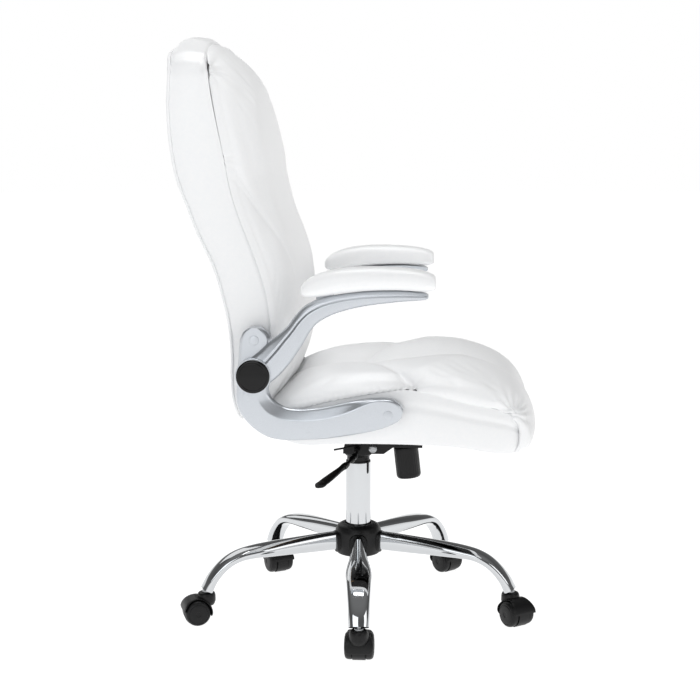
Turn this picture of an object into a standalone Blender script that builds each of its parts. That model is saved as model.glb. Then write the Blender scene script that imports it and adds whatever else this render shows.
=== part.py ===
"""High-back swivel office chair with flip-up arms, as separate working pieces.

Metres, +Z up. The sitter faces +X and the sitter's right hand is at -Y. The floor is z = 0, and
the origin is under the middle of the whole chair, so the column stands a little ahead of it.
"""

import math

import bmesh
import bpy
import numpy as np
from mathutils import Matrix, Vector

# Clearances
GAP = 0.0003            # between pieces that rest on, touch or turn in each other

# Column and base
COLUMN_X = 0.005        # column axis, ahead of the middle of the chair
COLUMN_R = 0.025        # outer tube of the gas lift
COLUMN_WALL = 0.0015
COLUMN_BOTTOM = 0.1145
COLUMN_TOP = 0.301
HUB_R = 0.036
HUB_BOTTOM = 0.113
HUB_TOP = 0.1715
COVER_R = 0.047
COVER_WALL = 0.0025
COVER_BOTTOM = 0.1135
COVER_TOP = 0.1755
LEG_COUNT = 5
LEG_FIRST_ANGLE = -87.0  # degrees from +X
STEM_CIRCLE_R = 0.313
LEG_ROOT_HEIGHT = 0.038
LEG_ROOT_WIDTH = 0.026
LEG_END_Z = 0.065

# Casters
WHEEL_R = 0.025
WHEEL_WIDTH = 0.013
WHEEL_CHAMFER = 0.003
WEB_WIDTH = 0.0244       # centre body between the two wheels
CASTER_TRAIL = 0.020     # stem axis to axle
FENDER_WALL = 0.0025
FENDER_GAP = 0.0008      # between the tread and the fender
NECK_R = 0.0175
NECK_TOP = 0.062
WEB_BOTTOM = 0.010
STEM_R = 0.0042
STEM_BOTTOM = 0.047
STEM_TOP = 0.079
STEM_COLLAR_R = 0.0085
AXLE_R = 0.003
CASTER_TURNS = (90.0, -56.0, -48.0, -60.0, 199.0)  # trail direction of each caster, degrees from +X

# Gas lift
CYLINDER_R = 0.014
CYLINDER_WALL = 0.0018
CYLINDER_BOTTOM = 0.135
CYLINDER_TOP = 0.335
ROD_R = 0.005
PISTON_Z = 0.270
PISTON_HEIGHT = 0.010
BEARING_R = 0.015
BEARING_HEIGHT = 0.006
BUSH_LENGTH = 0.065
BUSH_FLANGE = 0.0022

# Tilt mechanism
HOUSING_HALF_Y = 0.042
HOUSING_WALL = 0.0025
HOUSING_REAR = -0.028    # these X values are measured from the column axis
HOUSING_FRONT = 0.128
HOUSING_FLOOR = 0.325
CUP_R = 0.0215
PIVOT_X = 0.031
PIVOT_Z = 0.337
TILT_PIN_R = 0.005
KNOB_R = 0.0245
KNOB_HEIGHT = 0.064
KNOB_WALL = 0.0025
KNOB_TOP_X = 0.0945
KNOB_TOP_Z = 0.334
KNOB_LEAN = 6.5          # degrees, foot of the knob forward
SPRING_R = 0.014
SPRING_WIRE_R = 0.0015
SPRING_TURNS = 4
SPRING_POINTS = 8        # to each turn
LEVER_Z = 0.336
LEVER_ROD_R = 0.0035
SLEEVE_WALL = 0.0017
SLEEVE_REACH = 0.033     # how far the sleeve stands out of the housing

# Seat
PLATE_Z = 0.372
PLATE_THICKNESS = 0.003
PLATE_REAR = -0.095
PLATE_FRONT = 0.125
PLATE_HALF_Y = 0.085
LINING_THICKNESS = 0.0011
BOARD_THICKNESS = 0.012
SEAT_HALF_WIDTH = 0.255
SEAT_THICKNESS = 0.1415
SEAT_BOARD_INSET = 0.125
SEAT_LIP_DROP = 0.0235    # front roll of the cushion, below the board's top
SEAT_BOARD_REAR = -0.110
SEAT_BOARD_FRONT = 0.224

# Back
BACK_SIDE_INSET = 0.0105   # back narrower than the seat, at each side
BACK_HALF_WIDTH = SEAT_HALF_WIDTH - BACK_SIDE_INSET
BACK_PANEL_THICKNESS = 0.010
BACK_BOARD_THICKNESS = 0.012
BACK_BOARD_INSET = 0.022
BACK_TOP = 1.076
HEAD_SEAM_Z = 0.905
HEAD_TOP = 1.131

# Arms
ARM_PIVOT_X = -0.171
ARM_PIVOT_Z = 0.522
BRACKET_GAP = 0.001       # between the seat's side and the bracket
BRACKET_INNER_Y = SEAT_HALF_WIDTH + BRACKET_GAP
BRACKET_THICKNESS = 0.034
ARM_HUB_R = 0.031
ARM_HUB_THICKNESS = 0.020
ARM_PIN_R = 0.008
CAP_R = 0.0285
CAP_THICKNESS = 0.006
PAD_OFFSET = 0.0295       # middle of the pad, outside the bracket's inner face
PAD_CENTRE_Y = BRACKET_INNER_Y + PAD_OFFSET
PAD_HALF_WIDTH = 0.0335

chair = None
cutters = None


# ---------------------------------------------------------------- scene and materials

def clear_scene():
    for obj in list(bpy.data.objects):
        bpy.data.objects.remove(obj, do_unlink=True)


def new_collection(name, hidden=False):
    collection = bpy.data.collections.new(name)
    collection.hide_render = hidden
    bpy.context.scene.collection.children.link(collection)
    return collection


def material(name, colour, roughness, metallic=0.0):
    found = bpy.data.materials.get(name)
    if found:
        return found
    made = bpy.data.materials.new(name)
    made.use_nodes = True
    shader = made.node_tree.nodes["Principled BSDF"]
    shader.inputs["Base Color"].default_value = (*colour, 1.0)
    shader.inputs["Roughness"].default_value = roughness
    shader.inputs["Metallic"].default_value = metallic
    return made


def chrome():
    return material("chrome_plating", (0.80, 0.80, 0.82), 0.08, 1.0)


def silver_paint():
    return material("silver_paint", (0.62, 0.63, 0.65), 0.35, 0.6)


def black_plastic():
    return material("black_plastic", (0.02, 0.02, 0.02), 0.45)


def gloss_black():
    return material("gloss_black_plastic", (0.01, 0.01, 0.01), 0.12)


def black_paint():
    return material("black_painted_steel", (0.025, 0.025, 0.027), 0.4, 0.3)


def bare_steel():
    return material("bare_steel", (0.55, 0.55, 0.56), 0.3, 1.0)


def white_leather():
    return material("white_leather", (0.86, 0.87, 0.87), 0.42)


def plywood():
    return material("plywood", (0.55, 0.40, 0.24), 0.7)


def lining_cloth():
    return material("lining_cloth", (0.02, 0.02, 0.02), 0.9)


# ---------------------------------------------------------------- shape tools

def keep(obj, finish=None, smooth_angle=35.0):
    """Puts a finished piece in the chair's collection, with its material and smooth round faces."""
    for collection in list(obj.users_collection):
        collection.objects.unlink(obj)
    chair.objects.link(obj)
    if finish:
        obj.data.materials.clear()
        obj.data.materials.append(finish)
    if obj.type == "MESH":
        obj.data.shade_smooth()
        obj.data.set_sharp_from_angle(angle=math.radians(smooth_angle))
    return obj


def make_cutter(obj):
    """Puts a cutter or a piece to be joined in the other collection."""
    for collection in list(obj.users_collection):
        collection.objects.unlink(obj)
    cutters.objects.link(obj)
    obj.hide_render = True
    obj.display_type = "WIRE"
    return obj


def link_mesh(name, mesh):
    obj = bpy.data.objects.new(name, mesh)
    bpy.context.scene.collection.objects.link(obj)
    return obj


def boolean(obj, other, operation):
    modifier = obj.modifiers.new(operation.lower(), "BOOLEAN")
    modifier.operation = operation
    modifier.solver = "EXACT"
    modifier.object = make_cutter(other)


def cut(obj, other):
    boolean(obj, other, "DIFFERENCE")


def join(obj, other):
    boolean(obj, other, "UNION")


def baked(obj):
    """The same object with its modifiers applied, so that copies can share its mesh."""
    bpy.context.view_layer.update()
    graph = bpy.context.evaluated_depsgraph_get()
    mesh = bpy.data.meshes.new_from_object(obj.evaluated_get(graph))
    mesh.transform(obj.matrix_world)
    name = obj.name
    bpy.data.objects.remove(obj, do_unlink=True)
    return link_mesh(name, mesh)


def curve_to_mesh(obj):
    """A curve's solid as a mesh with its caps welded on."""
    result = baked(obj)
    work = bmesh.new()
    work.from_mesh(result.data)
    bmesh.ops.remove_doubles(work, verts=work.verts, dist=0.00001)
    work.to_mesh(result.data)
    work.free()
    return result


def turned(name, profile, steps=24, ring=False):
    """A solid of revolution about its own Z axis.

    The profile is (radius, height) points down the outer side, top to bottom. A ring's profile
    goes on up its bore and closes; any other starts and ends on the axis.
    """
    points = [(r, 0.0, z) for r, z in profile]
    edges = [(i, i + 1) for i in range(len(points) - 1)]
    if ring:
        edges.append((len(points) - 1, 0))
    mesh = bpy.data.meshes.new(name)
    mesh.from_pydata(points, edges, [])
    obj = link_mesh(name, mesh)
    screw = obj.modifiers.new("turn", "SCREW")
    screw.axis = "Z"
    screw.steps = steps
    screw.render_steps = steps
    screw.use_merge_vertices = True
    screw.merge_threshold = 0.00001
    return obj


def rod(name, radius, start, end, steps=16):
    """A plain round bar from one point to another."""
    start = Vector(start)
    end = Vector(end)
    length = (end - start).length
    bpy.ops.mesh.primitive_cylinder_add(vertices=steps, radius=radius, depth=length)
    obj = bpy.context.object
    obj.name = name
    turn = Vector((0.0, 0.0, 1.0)).rotation_difference(end - start).to_matrix().to_4x4()
    obj.matrix_world = Matrix.Translation((start + end) / 2) @ turn
    return obj


def block(name, low, high, bevel=0.0, segments=2):
    """A box between two corners, with rounded edges where a bevel is given."""
    low = np.array(low)
    high = np.array(high)
    bpy.ops.mesh.primitive_cube_add(size=1.0)
    obj = bpy.context.object
    obj.name = name
    obj.data.transform(Matrix.Diagonal((*(high - low), 1.0)))
    obj.location = (low + high) / 2
    if bevel:
        modifier = obj.modifiers.new("bevel", "BEVEL")
        modifier.width = bevel
        modifier.segments = segments
    return obj


def upright_plate(name, outline, y_middle, thickness):
    """A flat XZ outline with its thickness along Y."""
    curve = bpy.data.curves.new(name, "CURVE")
    curve.dimensions = "2D"
    curve.fill_mode = "BOTH"
    curve.extrude = thickness / 2
    spline = curve.splines.new("POLY")
    spline.points.add(len(outline) - 1)
    spline.use_cyclic_u = True
    for point, (x, z) in zip(spline.points, outline):
        point.co = (x, z, 0.0, 1.0)
    obj = bpy.data.objects.new(name, curve)
    bpy.context.scene.collection.objects.link(obj)
    obj.matrix_world = Matrix.Translation((0, y_middle, 0)) @ Matrix.Rotation(math.pi / 2, 4, "X")
    return curve_to_mesh(obj)


def wire(name, points, radius, sides=2):
    """A round wire through its points, with closed ends."""
    curve = bpy.data.curves.new(name, "CURVE")
    curve.dimensions = "3D"
    curve.bevel_depth = radius
    curve.bevel_resolution = sides
    curve.use_fill_caps = True
    spline = curve.splines.new("POLY")
    spline.points.add(len(points) - 1)
    for point, co in zip(spline.points, points):
        point.co = (*co, 1.0)
    obj = bpy.data.objects.new(name, curve)
    bpy.context.scene.collection.objects.link(obj)
    return curve_to_mesh(obj)


def rounded_ring(half_a, half_b, radius, per_corner):
    """Points of a rounded rectangle, anticlockwise, as (a, b) pairs."""
    radius = min(radius, 0.98 * half_a, 0.98 * half_b)
    turn = np.linspace(0.0, math.pi / 2, per_corner)
    ring = []
    for quarter, (sa, sb) in enumerate(((1, 1), (-1, 1), (-1, -1), (1, -1))):
        angle = turn + quarter * math.pi / 2
        ring.append(np.stack((sa * (half_a - radius) + radius * np.cos(angle),
                              sb * (half_b - radius) + radius * np.sin(angle)), axis=1))
    return np.concatenate(ring)


def loft(name, frames, per_corner=3):
    """A solid through unlike sections.

    Each frame is (centre, side, up, half side, half up, corner radius): a rounded rectangle in
    the plane of the two directions. Side x up points along the way the sections run.
    """
    rings = []
    for centre, side, up, half_side, half_up, radius in frames:
        ring = rounded_ring(half_side, half_up, radius, per_corner)
        rings.append(np.array(centre) + ring[:, :1] * np.array(side) + ring[:, 1:] * np.array(up))
    count = len(rings[0])
    faces = [list(range(count))[::-1]]
    for level in range(len(rings) - 1):
        first = level * count
        for i in range(count):
            j = (i + 1) % count
            faces.append([first + i, first + j, first + count + j, first + count + i])
    faces.append([(len(rings) - 1) * count + i for i in range(count)])
    mesh = bpy.data.meshes.new(name)
    mesh.from_pydata(np.concatenate(rings).tolist(), [], faces)
    return link_mesh(name, mesh)


def bar_frames(path, sign=1.0, corner=0.35):
    """Section frames of a flat bar that runs in an XZ plane.

    The path holds (x, z, height across the bar, y middle, thickness in y). The section stands
    square to the path, and its corners are rounded by a share of the smaller side.
    """
    path = np.array(path, dtype=float)
    ends = np.gradient(path[:, :2], axis=0)
    ends /= np.linalg.norm(ends, axis=1)[:, None]
    frames = []
    for (x, z, height, y_middle, thickness), (tx, tz) in zip(path, ends):
        side = (0.0, sign, 0.0)
        up = np.cross((tx, 0.0, tz), side)
        radius = corner * min(height, thickness)
        frames.append(((x, y_middle, z), side, up, thickness / 2, height / 2, radius))
    return frames


def pivot(name, location, parent=None, turn_z=0.0):
    """An empty on a joint's axis, which carries what moves with it."""
    empty = bpy.data.objects.new(name, None)
    chair.objects.link(empty)
    empty.empty_display_size = 0.03
    world = Matrix.Translation(location) @ Matrix.Rotation(turn_z, 4, "Z")
    empty.matrix_world = world
    if parent:
        carry(empty, parent)
    return empty


def carry_from_column(obj, parent):
    """Parents a piece whose X is measured from the column axis."""
    obj.location.x += COLUMN_X
    carry(obj, parent)


def carry(obj, parent):
    """Parents a piece that is already in place."""
    bpy.context.view_layer.update()
    world = obj.matrix_world.copy()
    obj.parent = parent
    obj.matrix_parent_inverse = parent.matrix_world.inverted()
    obj.matrix_world = world


# ---------------------------------------------------------------- base

def leg_mesh():
    """One leg along +X from the hub, deep at the root, wide in the middle and turned down."""
    root = HUB_R + GAP
    middle = (HUB_TOP + HUB_BOTTOM) / 2 - 0.001
    reach = STEM_CIRCLE_R - root
    frames = []
    for share, z, height, width in (
        (0.00, middle, LEG_ROOT_HEIGHT, LEG_ROOT_WIDTH),
        (0.16, middle - 0.001, LEG_ROOT_HEIGHT - 0.001, LEG_ROOT_WIDTH + 0.001),
        (0.32, middle - 0.003, LEG_ROOT_HEIGHT - 0.004, LEG_ROOT_WIDTH + 0.009),
        (0.52, middle - 0.005, LEG_ROOT_HEIGHT - 0.010, LEG_ROOT_WIDTH + 0.020),
        (0.68, middle - 0.0085, LEG_ROOT_HEIGHT - 0.017, LEG_ROOT_WIDTH + 0.024),
        (0.79, middle - 0.0155, LEG_ROOT_HEIGHT - 0.018, LEG_ROOT_WIDTH + 0.020),
        (0.88, middle - 0.029, LEG_ROOT_HEIGHT - 0.017, LEG_ROOT_WIDTH + 0.016),
        (0.94, middle - 0.045, LEG_ROOT_HEIGHT - 0.015, LEG_ROOT_WIDTH + 0.013),
        (0.98, middle - 0.062, LEG_ROOT_HEIGHT - 0.014, LEG_ROOT_WIDTH + 0.011),
        (1.00, LEG_END_Z, LEG_ROOT_HEIGHT - 0.013, LEG_ROOT_WIDTH + 0.011),
    ):
        frames.append([root + share * reach, z, height, 0.0, width])
    sections = bar_frames(frames, corner=0.42)
    first = list(sections[0])
    first[2] = (0.0, 0.0, 1.0)
    last = list(sections[-1])
    last[2] = (1.0, 0.0, 0.0)
    sections = [tuple(first)] + sections[1:-1] + [tuple(last)]
    leg = loft("leg_shape", sections)
    bore = rod("leg_bore", STEM_R + GAP, (STEM_CIRCLE_R, 0, LEG_END_Z - 0.01),
               (STEM_CIRCLE_R, 0, STEM_TOP + GAP))
    cut(leg, bore)
    return baked(leg)


def make_base(column):
    hub = turned("base_hub", [(HUB_R, HUB_TOP), (HUB_R, HUB_BOTTOM),
                              (COLUMN_R + GAP, HUB_BOTTOM), (COLUMN_R + GAP, HUB_TOP)],
                 steps=30, ring=True)
    keep(hub, black_paint())
    carry_to(hub, column)
    tube_in = COLUMN_R - COLUMN_WALL
    tube = turned("lift_outer_tube", [
        (COLUMN_R, COLUMN_TOP), (COLUMN_R, COLUMN_BOTTOM), (ROD_R + 0.001, COLUMN_BOTTOM),
        (ROD_R + 0.001, COLUMN_BOTTOM + 0.004), (tube_in, COLUMN_BOTTOM + 0.004),
        (tube_in, COLUMN_TOP)], steps=30, ring=True)
    keep(tube, chrome())
    carry_to(tube, column)
    make_hub_cover(column)
    shape = leg_mesh()
    for index in range(LEG_COUNT):
        leg = link_mesh(f"leg_{index + 1}", shape.data)
        leg.rotation_euler.z = leg_angle(index)
        leg.parent = column
        keep(leg, chrome())
    bpy.data.objects.remove(shape, do_unlink=True)


def leg_angle(index):
    return math.radians(LEG_FIRST_ANGLE + index * 360.0 / LEG_COUNT)


def carry_to(obj, parent):
    """Parents a piece whose own coordinates are already the parent's."""
    obj.parent = parent


def make_hub_cover(column):
    """A cap over the hub with a notch for each leg and a hole for the column."""
    hole = COLUMN_R + 2 * GAP
    inner = COVER_R - COVER_WALL
    under = COVER_TOP - COVER_WALL
    cover = turned("hub_cover", [
        (hole, COVER_TOP), (COVER_R - 0.008, COVER_TOP), (COVER_R, COVER_TOP - 0.010),
        (COVER_R, COVER_BOTTOM), (inner, COVER_BOTTOM), (inner, under - 0.008),
        (inner - 0.007, under), (hole, under)], steps=30, ring=True)
    for index in range(LEG_COUNT):
        half = LEG_ROOT_WIDTH / 2 + 0.0012
        notch = block(f"cover_notch_{index + 1}", (HUB_R + 0.003, -half, COVER_BOTTOM - 0.01),
                      (COVER_R + 0.02, half, (HUB_TOP + HUB_BOTTOM) / 2 + LEG_ROOT_HEIGHT / 2 + 0.001))
        notch.matrix_world = Matrix.Rotation(leg_angle(index), 4, "Z") @ notch.matrix_basis
        cut(cover, notch)
    cover = baked(cover)
    keep(cover, black_plastic())
    carry_to(cover, column)


# ---------------------------------------------------------------- casters

def arc(centre, radius, start, end, count):
    """Points on an arc, angles in degrees."""
    angles = np.radians(np.linspace(start, end, count))
    return [(centre[0] + radius * math.cos(a), centre[1] + radius * math.sin(a)) for a in angles]


def hood_shape():
    """Centre body, fender over both wheels and stem neck, with bores for stem and axle."""
    axle = (CASTER_TRAIL, WHEEL_R)
    fender_in = WHEEL_R + FENDER_GAP
    fender_out = fender_in + FENDER_WALL
    drop = math.degrees(math.asin((WHEEL_R - WEB_BOTTOM) / fender_out))
    body_r = fender_out - 0.0006
    half = WEB_WIDTH / 2
    web = upright_plate("hood_shape", arc(axle, body_r, -drop, 180 + drop, 13), 0, WEB_WIDTH)
    fender = upright_plate("fender", arc(axle, fender_out, 0, 200, 12) + [axle], 0,
                           WEB_WIDTH + 2 * WHEEL_WIDTH)
    join(web, fender)
    join(web, rod("neck", NECK_R, (0, 0, STEM_BOTTOM - 0.006), (0, 0, NECK_TOP), 16))
    for side in (1, -1):
        well = rod(f"wheel_well_{side}", fender_in, (axle[0], side * half, axle[1]),
                   (axle[0], side * (half + 2 * WHEEL_WIDTH), axle[1]), 24)
        cut(web, well)
    cut(web, rod("stem_bore", STEM_R + GAP, (0, 0, STEM_BOTTOM - GAP), (0, 0, NECK_TOP + 0.01)))
    reach = WEB_WIDTH
    cut(web, rod("axle_bore", AXLE_R + GAP, (axle[0], -reach, axle[1]), (axle[0], reach, axle[1])))
    return baked(web)


def wheel_shape():
    """A wheel with a smooth outer face and a blind bore for the axle in its inner face."""
    edge = WHEEL_CHAMFER
    bore = AXLE_R + GAP
    floor = WHEEL_WIDTH - 0.002
    return baked(turned("wheel_shape", [
        (0.0, WHEEL_WIDTH), (WHEEL_R - edge, WHEEL_WIDTH), (WHEEL_R, WHEEL_WIDTH - edge),
        (WHEEL_R, 0.0), (bore, 0.0), (bore, floor), (0.0, floor)], steps=20))


def stem_shape():
    """The pin from the hood up into the leg, with its thrust collar between them."""
    low = NECK_TOP + GAP
    high = LEG_END_Z - GAP
    return baked(turned("stem_shape", [
        (0.0, STEM_TOP), (STEM_R, STEM_TOP), (STEM_R, high), (STEM_COLLAR_R, high),
        (STEM_COLLAR_R, low), (STEM_R, low), (STEM_R, STEM_BOTTOM), (0.0, STEM_BOTTOM)], steps=16))


def make_casters(column):
    hood_mesh = hood_shape()
    wheel_mesh = wheel_shape()
    stem_mesh = stem_shape()
    inner_face = WEB_WIDTH / 2 + GAP
    for index in range(LEG_COUNT):
        number = index + 1
        angle = leg_angle(index)
        foot = (COLUMN_X + STEM_CIRCLE_R * math.cos(angle), STEM_CIRCLE_R * math.sin(angle), 0.0)
        stem = link_mesh(f"caster_stem_{number}", stem_mesh.data)
        stem.location = foot
        keep(stem, bare_steel())
        carry(stem, column)
        swivel = pivot(f"caster_pivot_{number}", foot, column, math.radians(CASTER_TURNS[index]))
        hood = link_mesh(f"caster_hood_{number}", hood_mesh.data)
        hood.parent = swivel
        keep(hood, black_plastic())
        axle = rod(f"caster_axle_{number}", AXLE_R, (0, -inner_face - WHEEL_WIDTH + 0.0025, 0),
                   (0, inner_face + WHEEL_WIDTH - 0.0025, 0), 12)
        axle.location = (CASTER_TRAIL, 0, WHEEL_R)
        axle.parent = swivel
        keep(axle, bare_steel())
        for letter, side in (("a", 1.0), ("b", -1.0)):
            wheel = link_mesh(f"caster_wheel_{number}{letter}", wheel_mesh.data)
            wheel.location = (CASTER_TRAIL, side * inner_face, WHEEL_R)
            wheel.rotation_euler.x = -side * math.pi / 2
            wheel.parent = swivel
            keep(wheel, black_plastic())
    for shape in (hood_mesh, wheel_mesh, stem_mesh):
        bpy.data.objects.remove(shape, do_unlink=True)


# ---------------------------------------------------------------- gas lift

def make_gas_lift(column, lift):
    tube_in = COLUMN_R - COLUMN_WALL
    floor = COLUMN_BOTTOM + 0.004 + GAP
    bearing = turned("thrust_bearing", [
        (BEARING_R, floor + BEARING_HEIGHT), (BEARING_R, floor), (ROD_R + GAP, floor),
        (ROD_R + GAP, floor + BEARING_HEIGHT)], ring=True)
    keep(bearing, bare_steel())
    carry_to(bearing, column)
    bush_top = COLUMN_TOP + GAP + BUSH_FLANGE
    bush = turned("lift_bush", [
        (COLUMN_R - 0.0008, bush_top), (COLUMN_R - 0.0008, COLUMN_TOP + GAP),
        (tube_in - GAP, COLUMN_TOP + GAP), (tube_in - GAP, bush_top - BUSH_LENGTH),
        (CYLINDER_R + GAP, bush_top - BUSH_LENGTH), (CYLINDER_R + GAP, bush_top)],
        steps=30, ring=True)
    keep(bush, black_plastic())
    carry_to(bush, column)
    flange = floor + BEARING_HEIGHT + GAP
    bore = CYLINDER_R - CYLINDER_WALL
    piston = turned("piston_rod", [
        (0.0, PISTON_Z + PISTON_HEIGHT), (bore - GAP, PISTON_Z + PISTON_HEIGHT),
        (bore - GAP, PISTON_Z), (ROD_R, PISTON_Z), (ROD_R, flange + 0.002),
        (BEARING_R - 0.002, flange + 0.002), (BEARING_R - 0.002, flange), (ROD_R, flange),
        (ROD_R, COLUMN_BOTTOM + 0.001), (0.0, COLUMN_BOTTOM + 0.001)], steps=16)
    keep(piston, bare_steel())
    carry_to(piston, column)
    cylinder = turned("gas_cylinder", [
        (0.0, CYLINDER_TOP), (CYLINDER_R, CYLINDER_TOP), (CYLINDER_R, CYLINDER_BOTTOM),
        (ROD_R + GAP, CYLINDER_BOTTOM), (ROD_R + GAP, CYLINDER_BOTTOM + 0.004),
        (bore, CYLINDER_BOTTOM + 0.004), (bore, CYLINDER_TOP - 0.004),
        (0.0, CYLINDER_TOP - 0.004)], steps=24)
    keep(cylinder, chrome())
    carry_to(cylinder, lift)


# ---------------------------------------------------------------- tilt mechanism

def make_housing(lift):
    """Open-topped steel channel over the lift's cone, low at the rear so the seat can tip."""
    cup_bottom = COLUMN_TOP + 2 * GAP + BUSH_FLANGE
    crest = PLATE_Z - 0.002
    nose = HOUSING_FLOOR + 0.013
    outline = [(HOUSING_REAR, HOUSING_FLOOR), (0.052, HOUSING_FLOOR), (0.070, nose),
               (HOUSING_FRONT, nose), (HOUSING_FRONT, crest - 0.001), (PIVOT_X, crest),
               (0.0, PLATE_Z - 0.010), (HOUSING_REAR, HOUSING_FLOOR + 0.0085)]
    housing = upright_plate("tilt_housing", outline, 0, 2 * HOUSING_HALF_Y)
    wall = HOUSING_WALL
    rear = HOUSING_REAR + wall
    front = HOUSING_FRONT - wall
    hollow = [(rear, HOUSING_FLOOR + wall), (0.051, HOUSING_FLOOR + wall), (0.069, nose + wall),
              (front, nose + wall), (front, crest + 0.02), (rear, crest + 0.02)]
    join(housing, rod("cup", CUP_R, (0, 0, cup_bottom), (0, 0, HOUSING_FLOOR + 0.001), 24))
    cut(housing, upright_plate("housing_hollow", hollow, 0, 2 * (HOUSING_HALF_Y - wall)))
    cut(housing, rod("cup_bore", CYLINDER_R + GAP, (0, 0, cup_bottom - 0.01),
                     (0, 0, HOUSING_FLOOR + 0.02), 24))
    reach = HOUSING_HALF_Y + 0.01
    cut(housing, rod("tilt_pin_bore", TILT_PIN_R + GAP, (PIVOT_X, -reach, PIVOT_Z),
                     (PIVOT_X, reach, PIVOT_Z)))
    cut(housing, rod("sleeve_hole", LEVER_ROD_R + SLEEVE_WALL + 3 * GAP, (0, -reach, LEVER_Z),
                     (0, -HOUSING_HALF_Y + 0.01, LEVER_Z)))
    housing = baked(housing)
    keep(housing, black_paint())
    carry_to(housing, lift)


def make_tilt_pin(lift):
    """Pivot pin across the housing, headed outside the seat plate's ears."""
    ear_out = HOUSING_HALF_Y + 2 * GAP + PLATE_THICKNESS + 0.002
    head = TILT_PIN_R + 0.003
    pin = turned("tilt_pin", [
        (0.0, ear_out + 0.004), (head, ear_out + 0.004), (head, ear_out), (TILT_PIN_R, ear_out),
        (TILT_PIN_R, -ear_out), (head, -ear_out), (head, -ear_out - 0.004),
        (0.0, -ear_out - 0.004)], steps=16)
    pin.rotation_euler.x = math.pi / 2
    pin.location = (PIVOT_X, 0, PIVOT_Z)
    keep(pin, bare_steel())
    carry_to(pin, lift)


def make_tension(lift):
    """Tension knob under the nose, and the compression spring that it loads."""
    knob_axis = pivot("knob_axis", (COLUMN_X + KNOB_TOP_X, 0, KNOB_TOP_Z), lift)
    lean = -math.radians(KNOB_LEAN)
    inner = KNOB_R - KNOB_WALL
    post = SPRING_R - SPRING_WIRE_R - 0.005
    knob = turned("tension_knob", [
        (0.0, -KNOB_HEIGHT / 2), (post, -KNOB_HEIGHT / 2), (post, -KNOB_HEIGHT + KNOB_WALL),
        (inner, -KNOB_HEIGHT + KNOB_WALL), (inner, 0.0), (KNOB_R - 0.001, 0.0),
        (KNOB_R, -0.001), (KNOB_R, -KNOB_HEIGHT + 0.004), (KNOB_R - 0.004, -KNOB_HEIGHT),
        (0.0, -KNOB_HEIGHT)], steps=28)
    knob.rotation_euler.y = lean
    knob.parent = knob_axis
    keep(knob, black_plastic())
    low = -KNOB_HEIGHT + KNOB_WALL + SPRING_WIRE_R + 0.002
    high = -SPRING_WIRE_R - 0.002
    count = SPRING_TURNS * SPRING_POINTS + 1
    turn = np.linspace(0.0, 2 * math.pi * SPRING_TURNS, count)
    height = np.linspace(low, high, count)
    coil = np.stack((SPRING_R * np.cos(turn), SPRING_R * np.sin(turn), height), axis=1)
    spring = wire("tension_spring", coil.tolist(), SPRING_WIRE_R, 1)
    spring.rotation_euler.y = lean
    spring.parent = knob_axis
    keep(spring, bare_steel())


def make_lever(lift):
    """Lift lever: a sleeve that rocks in the housing wall, and the handle that slides in it."""
    wall_y = -HOUSING_HALF_Y
    lever_axis = pivot("lever_axis", (COLUMN_X, wall_y, LEVER_Z), lift)
    outer = LEVER_ROD_R + SLEEVE_WALL
    inside = 0.008
    sleeve = turned("lever_sleeve", [
        (outer, inside), (outer, -SLEEVE_REACH), (LEVER_ROD_R + GAP, -SLEEVE_REACH),
        (LEVER_ROD_R + GAP, inside)], steps=16, ring=True)
    sleeve.rotation_euler.x = -math.pi / 2
    sleeve.parent = lever_axis
    keep(sleeve, black_paint())
    route = [(0.0, inside + 0.002, 0.0), (0.0, -0.052, 0.0), (-0.001, -0.066, -0.001),
             (-0.006, -0.082, -0.004), (-0.012, -0.098, -0.007), (-0.020, -0.123, -0.012)]
    handle = wire("lift_lever", route, LEVER_ROD_R, 2)
    start = Vector(route[-2])
    grip_end = Vector((-0.066, -0.173, -0.037))
    along = (grip_end - start).normalized()
    side = along.cross(Vector((0, 0, 1))).normalized()
    up = side.cross(along)
    frames = []
    for share, half_side, half_up in ((0.0, 0.0048, 0.0048), (0.12, 0.0055, 0.0052),
                                      (0.45, 0.009, 0.0042), (0.8, 0.0105, 0.0036),
                                      (0.95, 0.009, 0.0032), (1.0, 0.005, 0.002)):
        frames.append((start.lerp(grip_end, share), up, side, half_up, half_side, 0.002))
    grip = loft("lever_grip", [(c, s, u, a, b, r) for c, s, u, a, b, r in frames])
    join(handle, grip)
    handle = baked(handle)
    handle.parent = lever_axis
    keep(handle, black_plastic())


# ---------------------------------------------------------------- seat

def make_seat_plate(seat):
    """Steel plate bolted to the seat board, with two ears down to the tilt pin."""
    plate = block("seat_plate", (PLATE_REAR, -PLATE_HALF_Y, PLATE_Z),
                  (PLATE_FRONT, PLATE_HALF_Y, PLATE_Z + PLATE_THICKNESS))
    ear_y = HOUSING_HALF_Y + 2 * GAP + 0.001 + PLATE_THICKNESS / 2
    ear = [(PIVOT_X + 0.018, PLATE_Z + 0.001), (PIVOT_X - 0.018, PLATE_Z + 0.001)]
    ear += arc((PIVOT_X, PIVOT_Z), 0.011, 190, 350, 9)
    for side in (1, -1):
        join(plate, upright_plate(f"plate_ear_{side}", ear, side * ear_y, PLATE_THICKNESS))
    cut(plate, rod("ear_bore", TILT_PIN_R + GAP, (PIVOT_X, -0.1, PIVOT_Z),
                   (PIVOT_X, 0.1, PIVOT_Z)))
    plate = baked(plate)
    keep(plate, black_paint())
    carry_from_column(plate, seat)


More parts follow.
